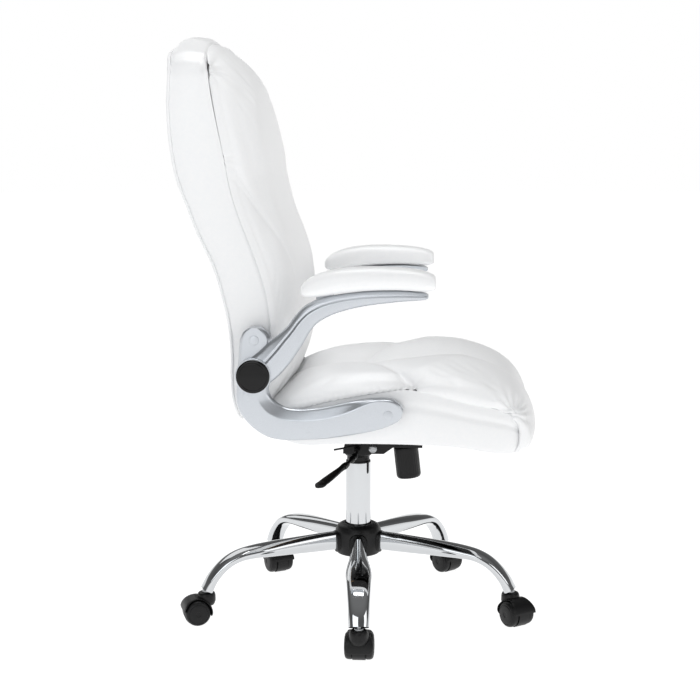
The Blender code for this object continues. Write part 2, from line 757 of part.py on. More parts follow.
def make_seat(seat):
    make_seat_plate(seat)
    lining_z = PLATE_Z + PLATE_THICKNESS + 2 * GAP
    board_z = lining_z + LINING_THICKNESS + GAP
    foam_z = board_z + BOARD_THICKNESS + GAP
    half = SEAT_HALF_WIDTH - SEAT_BOARD_INSET
    lining = block("seat_lining", (SEAT_BOARD_REAR + 0.004, -half + 0.004, lining_z),
                   (SEAT_BOARD_FRONT - 0.004, half - 0.004, lining_z + LINING_THICKNESS))
    board = block("seat_board", (SEAT_BOARD_REAR, -half, board_z),
                  (SEAT_BOARD_FRONT, half, board_z + BOARD_THICKNESS))
    top = foam_z + SEAT_THICKNESS
    lip = foam_z - SEAT_LIP_DROP
    wide = SEAT_HALF_WIDTH
    frames = []
    for x, low, high, half_width in (
        (-0.150, foam_z + 0.022, top - 0.085, wide - 0.055),
        (-0.138, foam_z + 0.006, top - 0.066, wide - 0.020),
        (-0.105, foam_z, top - 0.036, wide - 0.007),
        (-0.030, foam_z, top - 0.017, wide - 0.001),
        (0.045, foam_z, top - 0.009, wide),
        (0.105, foam_z, top - 0.005, wide),
        (0.165, foam_z, top, wide - 0.001),
        (SEAT_BOARD_FRONT + 0.001, foam_z, top - 0.004, wide - 0.005),
        (SEAT_BOARD_FRONT + 0.003, lip + 0.006, top - 0.004, wide - 0.006),
        (0.275, lip, top - 0.024, wide - 0.018),
        (0.310, lip + 0.006, top - 0.046, wide - 0.036),
        (0.332, lip + 0.020, top - 0.078, wide - 0.065),
        (0.3435, lip + 0.050, top - 0.105, wide - 0.100),
    ):
        middle = (x, 0.0, (low + high) / 2)
        frames.append((middle, (0, 1, 0), (0, 0, 1), half_width, (high - low) / 2, 0.048))
    cushion = loft("seat_cushion", frames)
    for obj, finish in ((lining, lining_cloth()), (board, plywood()), (cushion, white_leather())):
        keep(obj, finish)
        carry_from_column(obj, seat)


# ---------------------------------------------------------------- back

# Height, rear face, seam between boxing and front cushion, front face, share of the half width
BACK_STATIONS = (
    (0.425, -0.213, -0.176, -0.163, 0.84),
    (0.460, -0.223, -0.166, -0.149, 1.00),
    (0.500, -0.226, -0.154, -0.121, 1.03),
    (0.550, -0.224, -0.148, -0.098, 1.03),
    (0.590, -0.227, -0.147, -0.095, 1.03),
    (0.645, -0.240, -0.151, -0.098, 1.00),
    (0.717, -0.260, -0.171, -0.105, 1.00),
    (0.772, -0.283, -0.193, -0.124, 1.00),
    (0.854, -0.317, -0.220, -0.150, 1.00),
    (0.910, -0.329, -0.228, -0.158, 1.00),
    (0.956, -0.335, -0.240, -0.168, 0.99),
    (1.007, -0.335, -0.248, -0.182, 0.97),
    (1.045, -0.332, -0.255, -0.195, 0.94),
    (BACK_TOP, -0.327, -0.263, -0.209, 0.88),
)


def back_station(z):
    """Rear, seam, front and half width at a height, straight between the stations."""
    table = np.array(BACK_STATIONS)
    values = [np.interp(z, table[:, 0], table[:, column]) for column in range(1, 5)]
    values[3] *= BACK_HALF_WIDTH
    return values


def slab(name, levels, corner):
    """A soft slab from (height, rear x, front x, half width) levels, bottom to top."""
    frames = []
    for z, rear, front, half in levels:
        middle = ((rear + front) / 2, 0.0, z)
        frames.append((middle, (1, 0, 0), (0, 1, 0), (front - rear) / 2, half, corner))
    return loft(name, frames, per_corner=3)


def back_levels(low, high):
    """The stations between two heights, with the two heights themselves."""
    inner = [row[0] for row in BACK_STATIONS if low + 0.004 < row[0] < high - 0.004]
    return [low] + inner + [high]


def make_back(seat):
    bottom = BACK_STATIONS[0][0]
    board_rear = BACK_PANEL_THICKNESS + GAP
    core_rear = board_rear + BACK_BOARD_THICKNESS + GAP
    panel = []
    board = []
    core = []
    for z in back_levels(bottom, BACK_TOP):
        rear, seam, front, half = back_station(z)
        panel.append((z, rear, rear + BACK_PANEL_THICKNESS, half - 0.004))
        core.append((z, rear + core_rear, seam - GAP / 2, half))
    for z in back_levels(bottom + 0.012, BACK_TOP - 0.012):
        rear, seam, front, half = back_station(z)
        board.append((z, rear + board_rear, rear + board_rear + BACK_BOARD_THICKNESS,
                      half - BACK_BOARD_INSET))
    cushion = []
    for z in back_levels(bottom + 0.010, HEAD_SEAM_Z - GAP):
        rear, seam, front, half = back_station(z)
        cushion.append((z, seam + GAP / 2, front, half - 0.006))
    head = []
    for z in back_levels(HEAD_SEAM_Z, BACK_TOP):
        rear, seam, front, half = back_station(z)
        head.append((z, seam + GAP / 2, front, half - 0.006))
    rear, seam, front, half = back_station(BACK_TOP)
    lift_off = BACK_TOP + 2 * GAP
    rise = HEAD_TOP - lift_off
    for share, back_x, front_x, width in (
        (0.0, rear - 0.004, front - 0.002, half - 0.002),
        (0.30, rear - 0.009, front - 0.012, half - 0.010),
        (0.62, rear - 0.004, front - 0.030, half - 0.035),
        (0.88, rear + 0.008, front - 0.048, half - 0.075),
        (1.0, rear + 0.022, front - 0.066, half - 0.115),
    ):
        head.append((lift_off + share * rise, back_x, front_x, width))
    made = (
        (slab("back_panel", panel, 0.004), white_leather()),
        (slab("back_board", board, 0.003), plywood()),
        (slab("back_core", core, 0.012), white_leather()),
        (slab("back_cushion", cushion, 0.020), white_leather()),
        (slab("head_cushion", head, 0.020), white_leather()),
    )
    for obj, finish in made:
        keep(obj, finish)
        carry_from_column(obj, seat)


# ---------------------------------------------------------------- brackets and arms

def bracket(name, side, seat):
    """J-shaped casting from the back's side, past the arm pivot, down and along the seat."""
    y = side * (BRACKET_INNER_Y + BRACKET_THICKNESS / 2)
    thick = BRACKET_THICKNESS
    x = ARM_PIVOT_X
    z = ARM_PIVOT_Z
    path = []
    for dx, dz, height in (
        (0.001, 0.083, 0.030), (0.001, 0.075, 0.046), (0.001, 0.050, 0.057), (0.0, 0.0, 0.061),
        (-0.005, -0.034, 0.058), (0.006, -0.063, 0.062), (0.025, -0.080, 0.064),
        (0.050, -0.089, 0.060), (0.101, -0.090, 0.058), (0.146, -0.084, 0.061),
        (0.196, -0.0755, 0.061), (0.233, -0.067, 0.050), (0.252, -0.0645, 0.034),
        (0.262, -0.063, 0.016),
    ):
        path.append((x + dx, z + dz, height, y, thick))
    body = loft(name, bar_frames(path, corner=0.30), per_corner=3)
    pin_in = side * (BRACKET_INNER_Y + BRACKET_THICKNESS - 0.006)
    pin_out = side * (BRACKET_INNER_Y + BRACKET_THICKNESS + GAP + ARM_HUB_THICKNESS - 0.001)
    join(body, rod(f"{name}_pin", ARM_PIN_R, (x, pin_in, z), (x, pin_out, z), 20))
    body = baked(body)
    keep(body, silver_paint())
    carry_from_column(body, seat)


def arm(suffix, side, seat):
    """Arm frame, its pad and the cap over its pivot, all turning about the bracket's pin."""
    hub_in = BRACKET_INNER_Y + BRACKET_THICKNESS + GAP
    hub_out = hub_in + ARM_HUB_THICKNESS
    hub_middle = (hub_in + hub_out) / 2
    x = ARM_PIVOT_X
    z = ARM_PIVOT_Z
    axis = pivot(f"arm_pivot_{suffix}", (COLUMN_X + x, side * hub_middle, z), seat)
    path = []
    for dx, dz, height, share, thick in (
        (-0.004, -0.004, 0.040, 0.0, 0.018), (0.018, 0.017, 0.056, 0.0, 0.0195),
        (0.040, 0.036, 0.052, 0.0, 0.0195), (0.062, 0.057, 0.047, 0.0, 0.0200),
        (0.082, 0.080, 0.044, 0.05, 0.0210), (0.102, 0.1085, 0.041, 0.45, 0.024),
        (0.1445, 0.127, 0.035, 0.95, 0.032), (0.214, 0.140, 0.026, 1.0, 0.040),
        (0.2665, 0.1425, 0.019, 1.0, 0.040), (0.297, 0.142, 0.013, 1.0, 0.036),
        (0.311, 0.1405, 0.008, 1.0, 0.028),
    ):
        middle = side * (hub_middle + share * (PAD_CENTRE_Y - hub_middle))
        path.append((x + dx, z + dz, height, middle, thick))
    frame = loft(f"arm_frame_{suffix}", bar_frames(path, corner=0.30), per_corner=3)
    join(frame, rod("hub", ARM_HUB_R, (x, side * hub_in, z), (x, side * hub_out, z), 28))
    cut(frame, rod("hub_bore", ARM_PIN_R + GAP, (x, side * (hub_in - 0.01), z),
                   (x, side * (hub_out + 0.01), z), 20))
    frame = baked(frame)
    keep(frame, silver_paint())
    carry_from_column(frame, axis)
    cap_in = hub_out + GAP
    cap = turned(f"pivot_cap_{suffix}", [
        (0.0, CAP_THICKNESS), (CAP_R - 0.002, CAP_THICKNESS), (CAP_R, CAP_THICKNESS - 0.002),
        (CAP_R, 0.0), (0.0, 0.0)], steps=28)
    cap.rotation_euler.x = -side * math.pi / 2
    cap.location = (x, side * cap_in, z)
    keep(cap, gloss_black())
    carry_from_column(cap, axis)
    seat_z = z + 0.1535
    frames = []
    for dx, low, high, half in (
        (0.086, 0.0045, 0.009, 0.014), (0.090, 0.001, 0.019, 0.024), (0.101, -0.0005, 0.0265, 0.031),
        (0.140, 0.000, 0.0355, 0.0335), (0.189, 0.0010, 0.0385, 0.0335), (0.240, 0.0010, 0.0375, 0.0335),
        (0.290, -0.0015, 0.0325, 0.0325), (0.309, -0.0045, 0.024, 0.029), (0.317, -0.004, 0.014, 0.022),
        (0.3195, -0.001, 0.007, 0.014),
    ):
        middle = (x + dx, side * PAD_CENTRE_Y, seat_z + (low + high) / 2)
        share = half / 0.0335 * PAD_HALF_WIDTH
        frames.append((middle, (0, 1, 0), (0, 0, 1), share, (high - low) / 2, 0.014))
    pad = loft(f"arm_pad_{suffix}", frames, per_corner=3)
    keep(pad, white_leather())
    carry_from_column(pad, axis)


# ---------------------------------------------------------------- assembly

def main():
    global chair, cutters
    clear_scene()
    chair = new_collection("swivel_office_chair")
    cutters = new_collection("cutters", hidden=True)
    column = pivot("column_axis", (COLUMN_X, 0, 0))
    make_base(column)
    make_casters(column)
    lift = pivot("lift_axis", (COLUMN_X, 0, 0), column)
    make_gas_lift(column, lift)
    make_housing(lift)
    make_tilt_pin(lift)
    make_tension(lift)
    make_lever(lift)
    seat = pivot("seat_tilt_axis", (COLUMN_X + PIVOT_X, 0, PIVOT_Z), lift)
    make_seat(seat)
    make_back(seat)
    for suffix, side in (("right", -1.0), ("left", 1.0)):
        bracket(f"bracket_{suffix}", side, seat)
        arm(suffix, side, seat)
    bpy.context.view_layer.update()


main()
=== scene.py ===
"""Looks of a high-back swivel office chair with flip-up arms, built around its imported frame.

Metres, +Z up; the sitter faces +X and the sitter's right hand is at -Y. Outlines are written from the
column's axis, which stands a little ahead of the middle of the chair, and are moved there by shifted().
Every shape is a grid of points worked out with numpy: rows are stations along the piece, columns run
around or across it.
"""

import math

import bpy
import numpy as np
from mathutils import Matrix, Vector


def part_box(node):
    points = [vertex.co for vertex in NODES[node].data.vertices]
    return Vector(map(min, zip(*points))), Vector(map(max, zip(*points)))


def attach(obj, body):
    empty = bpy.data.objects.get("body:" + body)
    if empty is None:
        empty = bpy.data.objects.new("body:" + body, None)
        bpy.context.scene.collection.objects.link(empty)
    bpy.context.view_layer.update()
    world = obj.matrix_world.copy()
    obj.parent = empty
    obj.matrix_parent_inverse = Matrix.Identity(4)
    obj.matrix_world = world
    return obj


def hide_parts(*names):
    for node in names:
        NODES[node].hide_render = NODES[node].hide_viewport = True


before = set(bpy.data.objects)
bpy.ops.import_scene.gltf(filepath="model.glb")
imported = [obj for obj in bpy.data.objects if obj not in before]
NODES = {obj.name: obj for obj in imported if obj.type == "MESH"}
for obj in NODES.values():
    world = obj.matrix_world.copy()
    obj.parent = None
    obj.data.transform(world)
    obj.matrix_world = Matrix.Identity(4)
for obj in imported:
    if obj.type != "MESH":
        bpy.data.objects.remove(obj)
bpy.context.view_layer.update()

bl_info = {
    "name": "Swivel Office Chair Looks",
    "version": (1, 0, 0),
    "blender": (4, 5, 0),
    "location": "View3D > Sidebar > Chair",
    "description": "Upholstery, castings, chrome base and finishes of a high-back swivel chair",
    "category": "Object",
}

HUB_LOW, HUB_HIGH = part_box("base_hub")
COLUMN_X = (HUB_LOW.x + HUB_HIGH.x) / 2
SIDES = (("right", -1.0), ("left", 1.0))


# ---------------------------------------------------------------- curves and points

def along(table, at):
    """Values at `at` on a smooth curve through rows of (place, value, ...).

    Between two rows the value is a cubic; its slope at a row is that of the parabola through the row
    and its two neighbours."""
    table = np.asarray(table, float)
    place, value = table[:, 0], table[:, 1:]
    gap = np.diff(place)[:, None]
    rise = np.diff(value, axis=0) / gap
    slope = np.empty_like(value)
    slope[0], slope[-1] = rise[0], rise[-1]
    slope[1:-1] = (rise[:-1] * gap[1:] + rise[1:] * gap[:-1]) / (gap[:-1] + gap[1:])
    at = np.clip(np.asarray(at, float), place[0], place[-1])
    row = np.clip(np.searchsorted(place, at, side="right") - 1, 0, len(place) - 2)
    width = (place[row + 1] - place[row])[..., None]
    t = (at - place[row])[..., None] / width
    result = ((2 * t**3 - 3 * t**2 + 1) * value[row] + (t**3 - 2 * t**2 + t) * width * slope[row]
              + (3 * t**2 - 2 * t**3) * value[row + 1] + (t**3 - t**2) * width * slope[row + 1])
    return result[..., 0] if value.shape[1] == 1 else result


def curve(points, count):
    """`count` evenly spaced points on the smooth curve through `points`, ends included."""
    points = np.asarray(points, float)
    place = np.concatenate(([0.0], np.cumsum(np.linalg.norm(np.diff(points, axis=0), axis=1))))
    fine = along(np.column_stack((place, points)), np.linspace(0.0, place[-1], 24 * len(points)))
    walked = np.concatenate(([0.0], np.cumsum(np.linalg.norm(np.diff(fine, axis=0), axis=1))))
    at = np.linspace(0.0, walked[-1], count)
    return np.stack([np.interp(at, walked, column) for column in fine.T], axis=1)


def shifted(points):
    """Points measured from the column's axis, moved to the chair's own origin."""
    points = np.array(points, float)
    points[..., 0] += COLUMN_X
    return points


def round_off(share, power):
    """Crown of a cushion: the superellipse (1 - |share|^power)^(1/power), 1 at the middle, 0 at the rim."""
    return np.maximum(0.0, 1.0 - np.abs(share) ** power) ** (1.0 / power)


def section(count, power=2.0):
    """Closed unit superellipse |a|^power + |b|^power = 1 as (a, b) rows; power 2 is a circle."""
    turn = np.linspace(0.0, 2 * math.pi, count, endpoint=False)
    a, b = np.cos(turn), np.sin(turn)
    return np.stack((np.sign(a) * np.abs(a) ** (2 / power), np.sign(b) * np.abs(b) ** (2 / power)), axis=1)


def outward_of(rim):
    """Unit directions square to a closed outline, pointing out of it."""
    away = np.roll(rim, -1, axis=0) - np.roll(rim, 1, axis=0)
    away = np.stack((away[:, 1], -away[:, 0]), axis=1)
    away /= np.linalg.norm(away, axis=1, keepdims=True)
    return away * np.sign((away * (rim - rim.mean(axis=0))).sum(axis=1).sum())


def turned_about(points, axis, angle):
    """Points turned by `angle` radians about the x, y or z axis through the origin."""
    c, s = math.cos(angle), math.sin(angle)
    matrix = {"x": ((1, 0, 0), (0, c, -s), (0, s, c)), "y": ((c, 0, s), (0, 1, 0), (-s, 0, c)),
              "z": ((c, -s, 0), (s, c, 0), (0, 0, 1))}[axis]
    return np.asarray(points) @ np.array(matrix).T


# ---------------------------------------------------------------- meshes

def grid_faces(rows, columns, loop_rows=False, loop_columns=False):
    """Four-sided faces between neighbouring points of a rows x columns grid."""
    i, j = np.meshgrid(np.arange(rows if loop_rows else rows - 1),
                       np.arange(columns if loop_columns else columns - 1), indexing="ij")
    k, l = (i + 1) % rows, (j + 1) % columns
    return np.stack((i * columns + j, i * columns + l, k * columns + l, k * columns + j), axis=-1).reshape(-1, 4)


def outward(points, faces):
    """Faces as lists, all turned over when the solid they close has a negative volume."""
    quads = np.array([face if len(face) == 4 else list(face) + [face[2]] for face in faces])
    a, b, c, d = (points[quads[:, i]] for i in range(4))
    volume = (np.einsum("ij,ij->i", a, np.cross(b, c)) + np.einsum("ij,ij->i", a, np.cross(c, d))).sum()
    return faces if volume > 0 else [face[::-1] for face in faces]


def mesh_piece(name, points, faces, sharp=50.0):
    """A smooth-shaded object from points and faces, with edges sharper than `sharp` degrees kept crisp."""
    mesh = bpy.data.meshes.new(name)
    mesh.from_pydata(points.tolist(), [], faces)
    mesh.validate()
    mesh.shade_smooth()
    mesh.set_sharp_from_angle(angle=math.radians(sharp))
    obj = bpy.data.objects.new(name, mesh)
    bpy.context.scene.collection.objects.link(obj)
    return obj


def tube_solid(grid):
    """Points and faces of a closed solid over closed rings, its two ends closed by fans to their middles."""
    rows, around, _ = grid.shape
    points = np.concatenate((grid.reshape(-1, 3), grid[:1].mean(axis=1), grid[-1:].mean(axis=1)))
    j = np.arange(around)
    k = (j + 1) % around
    first = np.stack((k, j, np.full(around, rows * around)), axis=1)
    last = np.stack((j, k, np.full(around, rows * around + 1)), axis=1)
    last[:, :2] += (rows - 1) * around
    faces = grid_faces(rows, around, loop_columns=True).tolist() + first.tolist() + last.tolist()
    return points, outward(points, faces)


def ring_solid(grid):
    """Points and faces of a ring: the grid closes both along and around."""
    rows, around, _ = grid.shape
    points = grid.reshape(-1, 3)
    return points, outward(points, grid_faces(rows, around, True, True).tolist())


def pillow_solid(top, bottom):
    """Points and faces of two sheets of the same grid that share their rim."""
    rows, columns, _ = top.shape
    number = np.arange(rows * columns).reshape(rows, columns)
    below = number.copy()
    below[1:-1, 1:-1] = rows * columns + np.arange((rows - 2) * (columns - 2)).reshape(rows - 2, columns - 2)
    faces = grid_faces(rows, columns)
    points = np.concatenate((top.reshape(-1, 3), bottom[1:-1, 1:-1].reshape(-1, 3)))
    return points, outward(points, faces.tolist() + below.reshape(-1)[faces[:, ::-1]].tolist())


def merged(parts):
    """Several (points, faces) solids as one."""
    points, faces, start = [], [], 0
    for part_points, part_faces in parts:
        points.append(part_points)
        faces += [[start + corner for corner in face] for face in part_faces]
        start += len(part_points)
    return np.concatenate(points), faces


def revolved(profile, steps=72, around_ring=False):
    """Solid turned about z: each (radius, z) of the profile goes round in a circle."""
    profile = np.asarray(profile, float)
    turn = np.linspace(0.0, 2 * math.pi, steps, endpoint=False)
    grid = np.stack((profile[:, :1] * np.cos(turn), profile[:, :1] * np.sin(turn),
                     np.repeat(profile[:, 1:], steps, axis=1)), axis=-1)
    return ring_solid(grid) if around_ring else tube_solid(grid)


def rounded_profile(corners, radius, steps=4):
    """A (radius, z) outline with each inner corner replaced by a quadratic arc that starts `radius` away."""
    corners = np.asarray(corners, float)
    rows = [corners[0]]
    for before, corner, after in zip(corners, corners[1:], corners[2:]):
        back, forth = before - corner, after - corner
        reach_back = min(radius, 0.45 * np.linalg.norm(back))
        reach_forth = min(radius, 0.45 * np.linalg.norm(forth))
        a = corner + back / np.linalg.norm(back) * reach_back
        b = corner + forth / np.linalg.norm(forth) * reach_forth
        t = np.linspace(0.0, 1.0, steps + 1)[:, None]
        rows += list((1 - t) ** 2 * a + 2 * t * (1 - t) * corner + t**2 * b)
    rows.append(corners[-1])
    return np.array(rows)


def swept(path, half_side, half_up, up=(0.0, 0.0, 1.0), around=24, power=2.0, loop=False):
    """Solid carried along a path: each ring is a superellipse across the path, as wide as 2 half_side and
    as high as 2 half_up at that point."""
    path = np.asarray(path, float)
    if loop:
        ahead = np.roll(path, -1, axis=0) - np.roll(path, 1, axis=0)
    else:
        ahead = np.gradient(path, axis=0)
    ahead /= np.linalg.norm(ahead, axis=1, keepdims=True)
    side = np.cross(ahead, np.asarray(up, float))
    side /= np.linalg.norm(side, axis=1, keepdims=True)
    rise = np.cross(side, ahead)
    half_side = np.broadcast_to(half_side, len(path))
    half_up = np.broadcast_to(half_up, len(path))
    ring = section(around, power)
    grid = (path[:, None] + side[:, None] * (half_side[:, None] * ring[:, 0])[..., None]
            + rise[:, None] * (half_up[:, None] * ring[:, 1])[..., None])
    return ring_solid(grid) if loop else tube_solid(grid)


def put(solid, angle=0.0, at=(0.0, 0.0, 0.0)):
    """A solid turned about z and moved."""
    points, faces = solid
    return turned_about(points, "z", angle) + np.asarray(at, float), faces


# ---------------------------------------------------------------- cloth, seams and gathers

def coordinates(obj):
    flat = np.empty(len(obj.data.vertices) * 3, np.float32)
    obj.data.vertices.foreach_get("co", flat)
    return flat.reshape(-1, 3).astype(float)


def set_coordinates(obj, points):
    obj.data.vertices.foreach_set("co", points.astype(np.float32).reshape(-1))
    obj.data.update()


def normals(obj):
    flat = np.empty(len(obj.data.vertices) * 3, np.float32)
    obj.data.vertex_normals.foreach_get("vector", flat)
    return flat.reshape(-1, 3).astype(float)


def evened(obj, move, held, passes=10):
    """Moves averaged with those of the points next to them along the edges, `passes` times; held points stay."""
    ends = np.empty(len(obj.data.edges) * 2, np.int32)
    obj.data.edges.foreach_get("vertices", ends)
    a, b = ends.reshape(-1, 2).T
    size = len(move)
    count = np.bincount(a, minlength=size) + np.bincount(b, minlength=size)
    for _ in range(passes):
        total = np.stack([np.bincount(a, move[b, axis], size) + np.bincount(b, move[a, axis], size)
                          for axis in range(3)], axis=1)
        move = (0.5 * move + 0.5 * total / count[:, None]) * ~held[:, None]
    return move


def plump(obj, held, cap, pressure=4.0, frames=20):
    """Swells a cover like filled cloth: its rim points are held, no point moves further than `cap`."""
    scene = bpy.context.scene
    start = coordinates(obj)
    group = obj.vertex_groups.new(name="sewn")
    group.add(np.flatnonzero(held).tolist(), 1.0, "REPLACE")
    cloth = obj.modifiers.new("Cloth", "CLOTH")
    cloth.settings.quality = 4
    cloth.settings.mass = 0.25
    cloth.settings.tension_stiffness = 12.0
    cloth.settings.bending_stiffness = 0.6
    cloth.settings.use_pressure = True
    cloth.settings.uniform_pressure_force = pressure
    cloth.settings.effector_weights.gravity = 0.0
    cloth.settings.vertex_group_mass = "sewn"
    for number in range(1, frames + 1):
        scene.frame_set(number)
    flat = np.empty(len(start) * 3, np.float32)
    obj.evaluated_get(bpy.context.evaluated_depsgraph_get()).data.vertices.foreach_get("co", flat)
    move = flat.reshape(-1, 3).astype(float) - start
    length = np.linalg.norm(move, axis=1, keepdims=True)
    obj.modifiers.remove(cloth)
    obj.vertex_groups.remove(group)
    scene.frame_set(1)
    move = move * np.minimum(1.0, cap / np.maximum(length, 1e-9))
    set_coordinates(obj, start + evened(obj, move, held))


def distance_to(points, path):
    """Distance of each point from a polyline: the least of its distances from the line's segments."""
    nearest = np.full(len(points), np.inf)
    for a, b in zip(path, path[1:]):
        step = b - a
        t = np.clip((points - a) @ step / max(step @ step, 1e-12), 0.0, 1.0)
        nearest = np.minimum(nearest, np.linalg.norm(points - a - t[:, None] * step, axis=1))
    return nearest


def press_seam(obj, path, depth, reach):
    """Pulls a sewn line into the padding: depth x exp(-distance / reach), straight into the surface."""
    points = coordinates(obj)
    push = depth * np.exp(-distance_to(points, np.asarray(path, float)) / reach)
    set_coordinates(obj, points - normals(obj) * push[:, None])


def gather(obj, centre, count, height, reach, plane=(0, 2)):
    """Folds that fan out from a point: height x sin(count x angle), fading as exp(-(distance/reach)^2)."""
    points = coordinates(obj)
    offset = points - np.asarray(centre, float)
    distance = np.linalg.norm(offset, axis=1)
    angle = np.arctan2(offset[:, plane[1]], offset[:, plane[0]])
    fade = np.exp(-(distance / reach) ** 2) * np.clip(distance / (0.25 * reach), 0.0, 1.0)
    fold = height * np.sin(count * angle + 0.7 * np.sin(3 * angle)) * fade
    set_coordinates(obj, points + normals(obj) * fold[:, None])


# ---------------------------------------------------------------- materials

def linear(code):
    """Linear colour from an sRGB hex code: (c / 12.92) below 0.04045, else ((c + 0.055) / 1.055)^2.4."""
    parts = [int(code[i:i + 2], 16) / 255 for i in (0, 2, 4)]
    return [c / 12.92 if c <= 0.04045 else ((c + 0.055) / 1.055) ** 2.4 for c in parts] + [1.0]


def add(tree, kind, settings=None, **links):
    """Adds one node: settings fill its properties or inputs, links join inputs to other nodes' sockets."""
    node = tree.nodes.new(kind)
    for key, value in (settings or {}).items():
        if key in node.inputs.keys():
            node.inputs[key].default_value = value
        else:
            setattr(node, key, value)
    for key, socket in links.items():
        tree.links.new(socket, node.inputs[key.replace("_", " ")])
    return node


def finish(name, colour, roughness, metallic=0.0, **sockets):
    """A new material and its surface shader: (material, node tree, shader, object coordinates)."""
    made = bpy.data.materials.new(name)
    made.use_nodes = True
    made.diffuse_color = colour
    tree = made.node_tree
    shader = tree.nodes["Principled BSDF"]
    shader.inputs["Base Color"].default_value = colour
    shader.inputs["Roughness"].default_value = roughness
    shader.inputs["Metallic"].default_value = metallic
    for key, value in sockets.items():
        shader.inputs[key.replace("_", " ")].default_value = value
    return made, tree, shader, tree.nodes.new("ShaderNodeTexCoord").outputs["Object"]


def tone(tree, shader, factor, dark, light, low=0.35, high=0.65):
    """Colour that runs from `dark` to `light` as the factor goes from low to high."""
    ramp = add(tree, "ShaderNodeValToRGB", Fac=factor)
    ramp.color_ramp.elements[0].position = low
    ramp.color_ramp.elements[0].color = dark
    ramp.color_ramp.elements[1].position = high
    ramp.color_ramp.elements[1].color = light
    tree.links.new(ramp.outputs["Color"], shader.inputs["Base Color"])


def wear(tree, shader, factor, low, high):
    """Roughness that runs from `low` to `high` with the factor."""
    spread = add(tree, "ShaderNodeMapRange", {"To Min": low, "To Max": high}, Value=factor)
    tree.links.new(spread.outputs["Result"], shader.inputs["Roughness"])


def leather_finish(colour):
    """Polyurethane-coated leather, embossed: a fine pebble grain and soft unevenness under a low sheen."""
    made, tree, shader, place = finish("coated_leather_embossed", colour, 0.42, Coat_Weight=0.12, Coat_Roughness=0.3)
    # Pebbles are about 0.7 mm across on the real cover; drawn at 1.4 mm so that they show.
    pebble = add(tree, "ShaderNodeTexVoronoi", {"feature": "SMOOTH_F1", "Scale": 700.0, "Smoothness": 0.6},
                 Vector=place)
    crease = add(tree, "ShaderNodeTexNoise", {"Scale": 160.0, "Detail": 3.0, "Roughness": 0.6}, Vector=place)
    slack = add(tree, "ShaderNodeTexNoise", {"Scale": 14.0, "Detail": 2.0}, Vector=place)
    fine = add(tree, "ShaderNodeBump", {"Strength": 0.10, "Distance": 0.0004}, Height=pebble.outputs["Distance"])
    medium = add(tree, "ShaderNodeBump", {"Strength": 0.10, "Distance": 0.0010},
                 Height=crease.outputs["Fac"], Normal=fine.outputs["Normal"])
    broad = add(tree, "ShaderNodeBump", {"Strength": 0.12, "Distance": 0.0040},
                Height=slack.outputs["Fac"], Normal=medium.outputs["Normal"])
    tree.links.new(broad.outputs["Normal"], shader.inputs["Normal"])
    tone(tree, shader, crease.outputs["Fac"], linear("F3F4F5"), colour, 0.2, 0.8)
    wear(tree, shader, slack.outputs["Fac"], 0.36, 0.50)
    return made


def silver_finish(colour):
    """Silver lacquer over a moulded casting: a fine metal flake under a satin clear coat."""
    made, tree, shader, place = finish("silver_lacquer_satin", colour, 0.34, 0.85, Coat_Weight=0.30,
                                         Coat_Roughness=0.20)
    # Flakes are a few hundredths of a millimetre; drawn at 0.6 mm as a faint sparkle.
    flake = add(tree, "ShaderNodeTexVoronoi", {"Scale": 1600.0}, Vector=place)
    cloud = add(tree, "ShaderNodeTexNoise", {"Scale": 55.0, "Detail": 2.0}, Vector=place)
    grain = add(tree, "ShaderNodeBump", {"Strength": 0.05, "Distance": 0.0002}, Height=flake.outputs["Distance"])
    tree.links.new(grain.outputs["Normal"], shader.inputs["Normal"])
    tone(tree, shader, flake.outputs["Distance"], linear("B0B4BA"), colour, 0.0, 0.5)
    wear(tree, shader, cloud.outputs["Fac"], 0.28, 0.38)
    return made


def chrome_finish(colour):
    """Bright chromium plate on polished steel tube: mirror-like, with the faintest handling haze."""
    made, tree, shader, place = finish("chromium_plate_polished", colour, 0.05, 1.0)
    haze = add(tree, "ShaderNodeTexNoise", {"Scale": 40.0, "Detail": 4.0}, Vector=place)
    wear(tree, shader, haze.outputs["Fac"], 0.02, 0.10)
    ripple = add(tree, "ShaderNodeBump", {"Strength": 0.03, "Distance": 0.0010}, Height=haze.outputs["Fac"])
    tree.links.new(ripple.outputs["Normal"], shader.inputs["Normal"])
    return made


def plastic_finish(name, colour, roughness):
    """Moulded black nylon: a spark-eroded mould leaves a fine matt grain."""
    made, tree, shader, place = finish(name, colour, roughness, IOR=1.53, Specular_IOR_Level=0.28)
    # The grain is about 0.3 mm; drawn at 0.8 mm.
    grain = add(tree, "ShaderNodeTexNoise", {"Scale": 1250.0, "Detail": 2.0}, Vector=place)
    bump = add(tree, "ShaderNodeBump", {"Strength": 0.12, "Distance": 0.0003}, Height=grain.outputs["Fac"])
    tree.links.new(bump.outputs["Normal"], shader.inputs["Normal"])
    tone(tree, shader, grain.outputs["Fac"], linear("080809"), colour)
    wear(tree, shader, grain.outputs["Fac"], roughness - 0.06, roughness + 0.08)
    return made


def gloss_finish(colour):
    """High-gloss black acrylic cap: a polished face that mirrors the lights."""
    made, tree, shader, place = finish("black_acrylic_polished", colour, 0.07, Specular_IOR_Level=0.30)
    haze = add(tree, "ShaderNodeTexNoise", {"Scale": 90.0, "Detail": 3.0}, Vector=place)
    wear(tree, shader, haze.outputs["Fac"], 0.04, 0.12)
    tone(tree, shader, haze.outputs["Fac"], linear("050506"), colour)
    return made


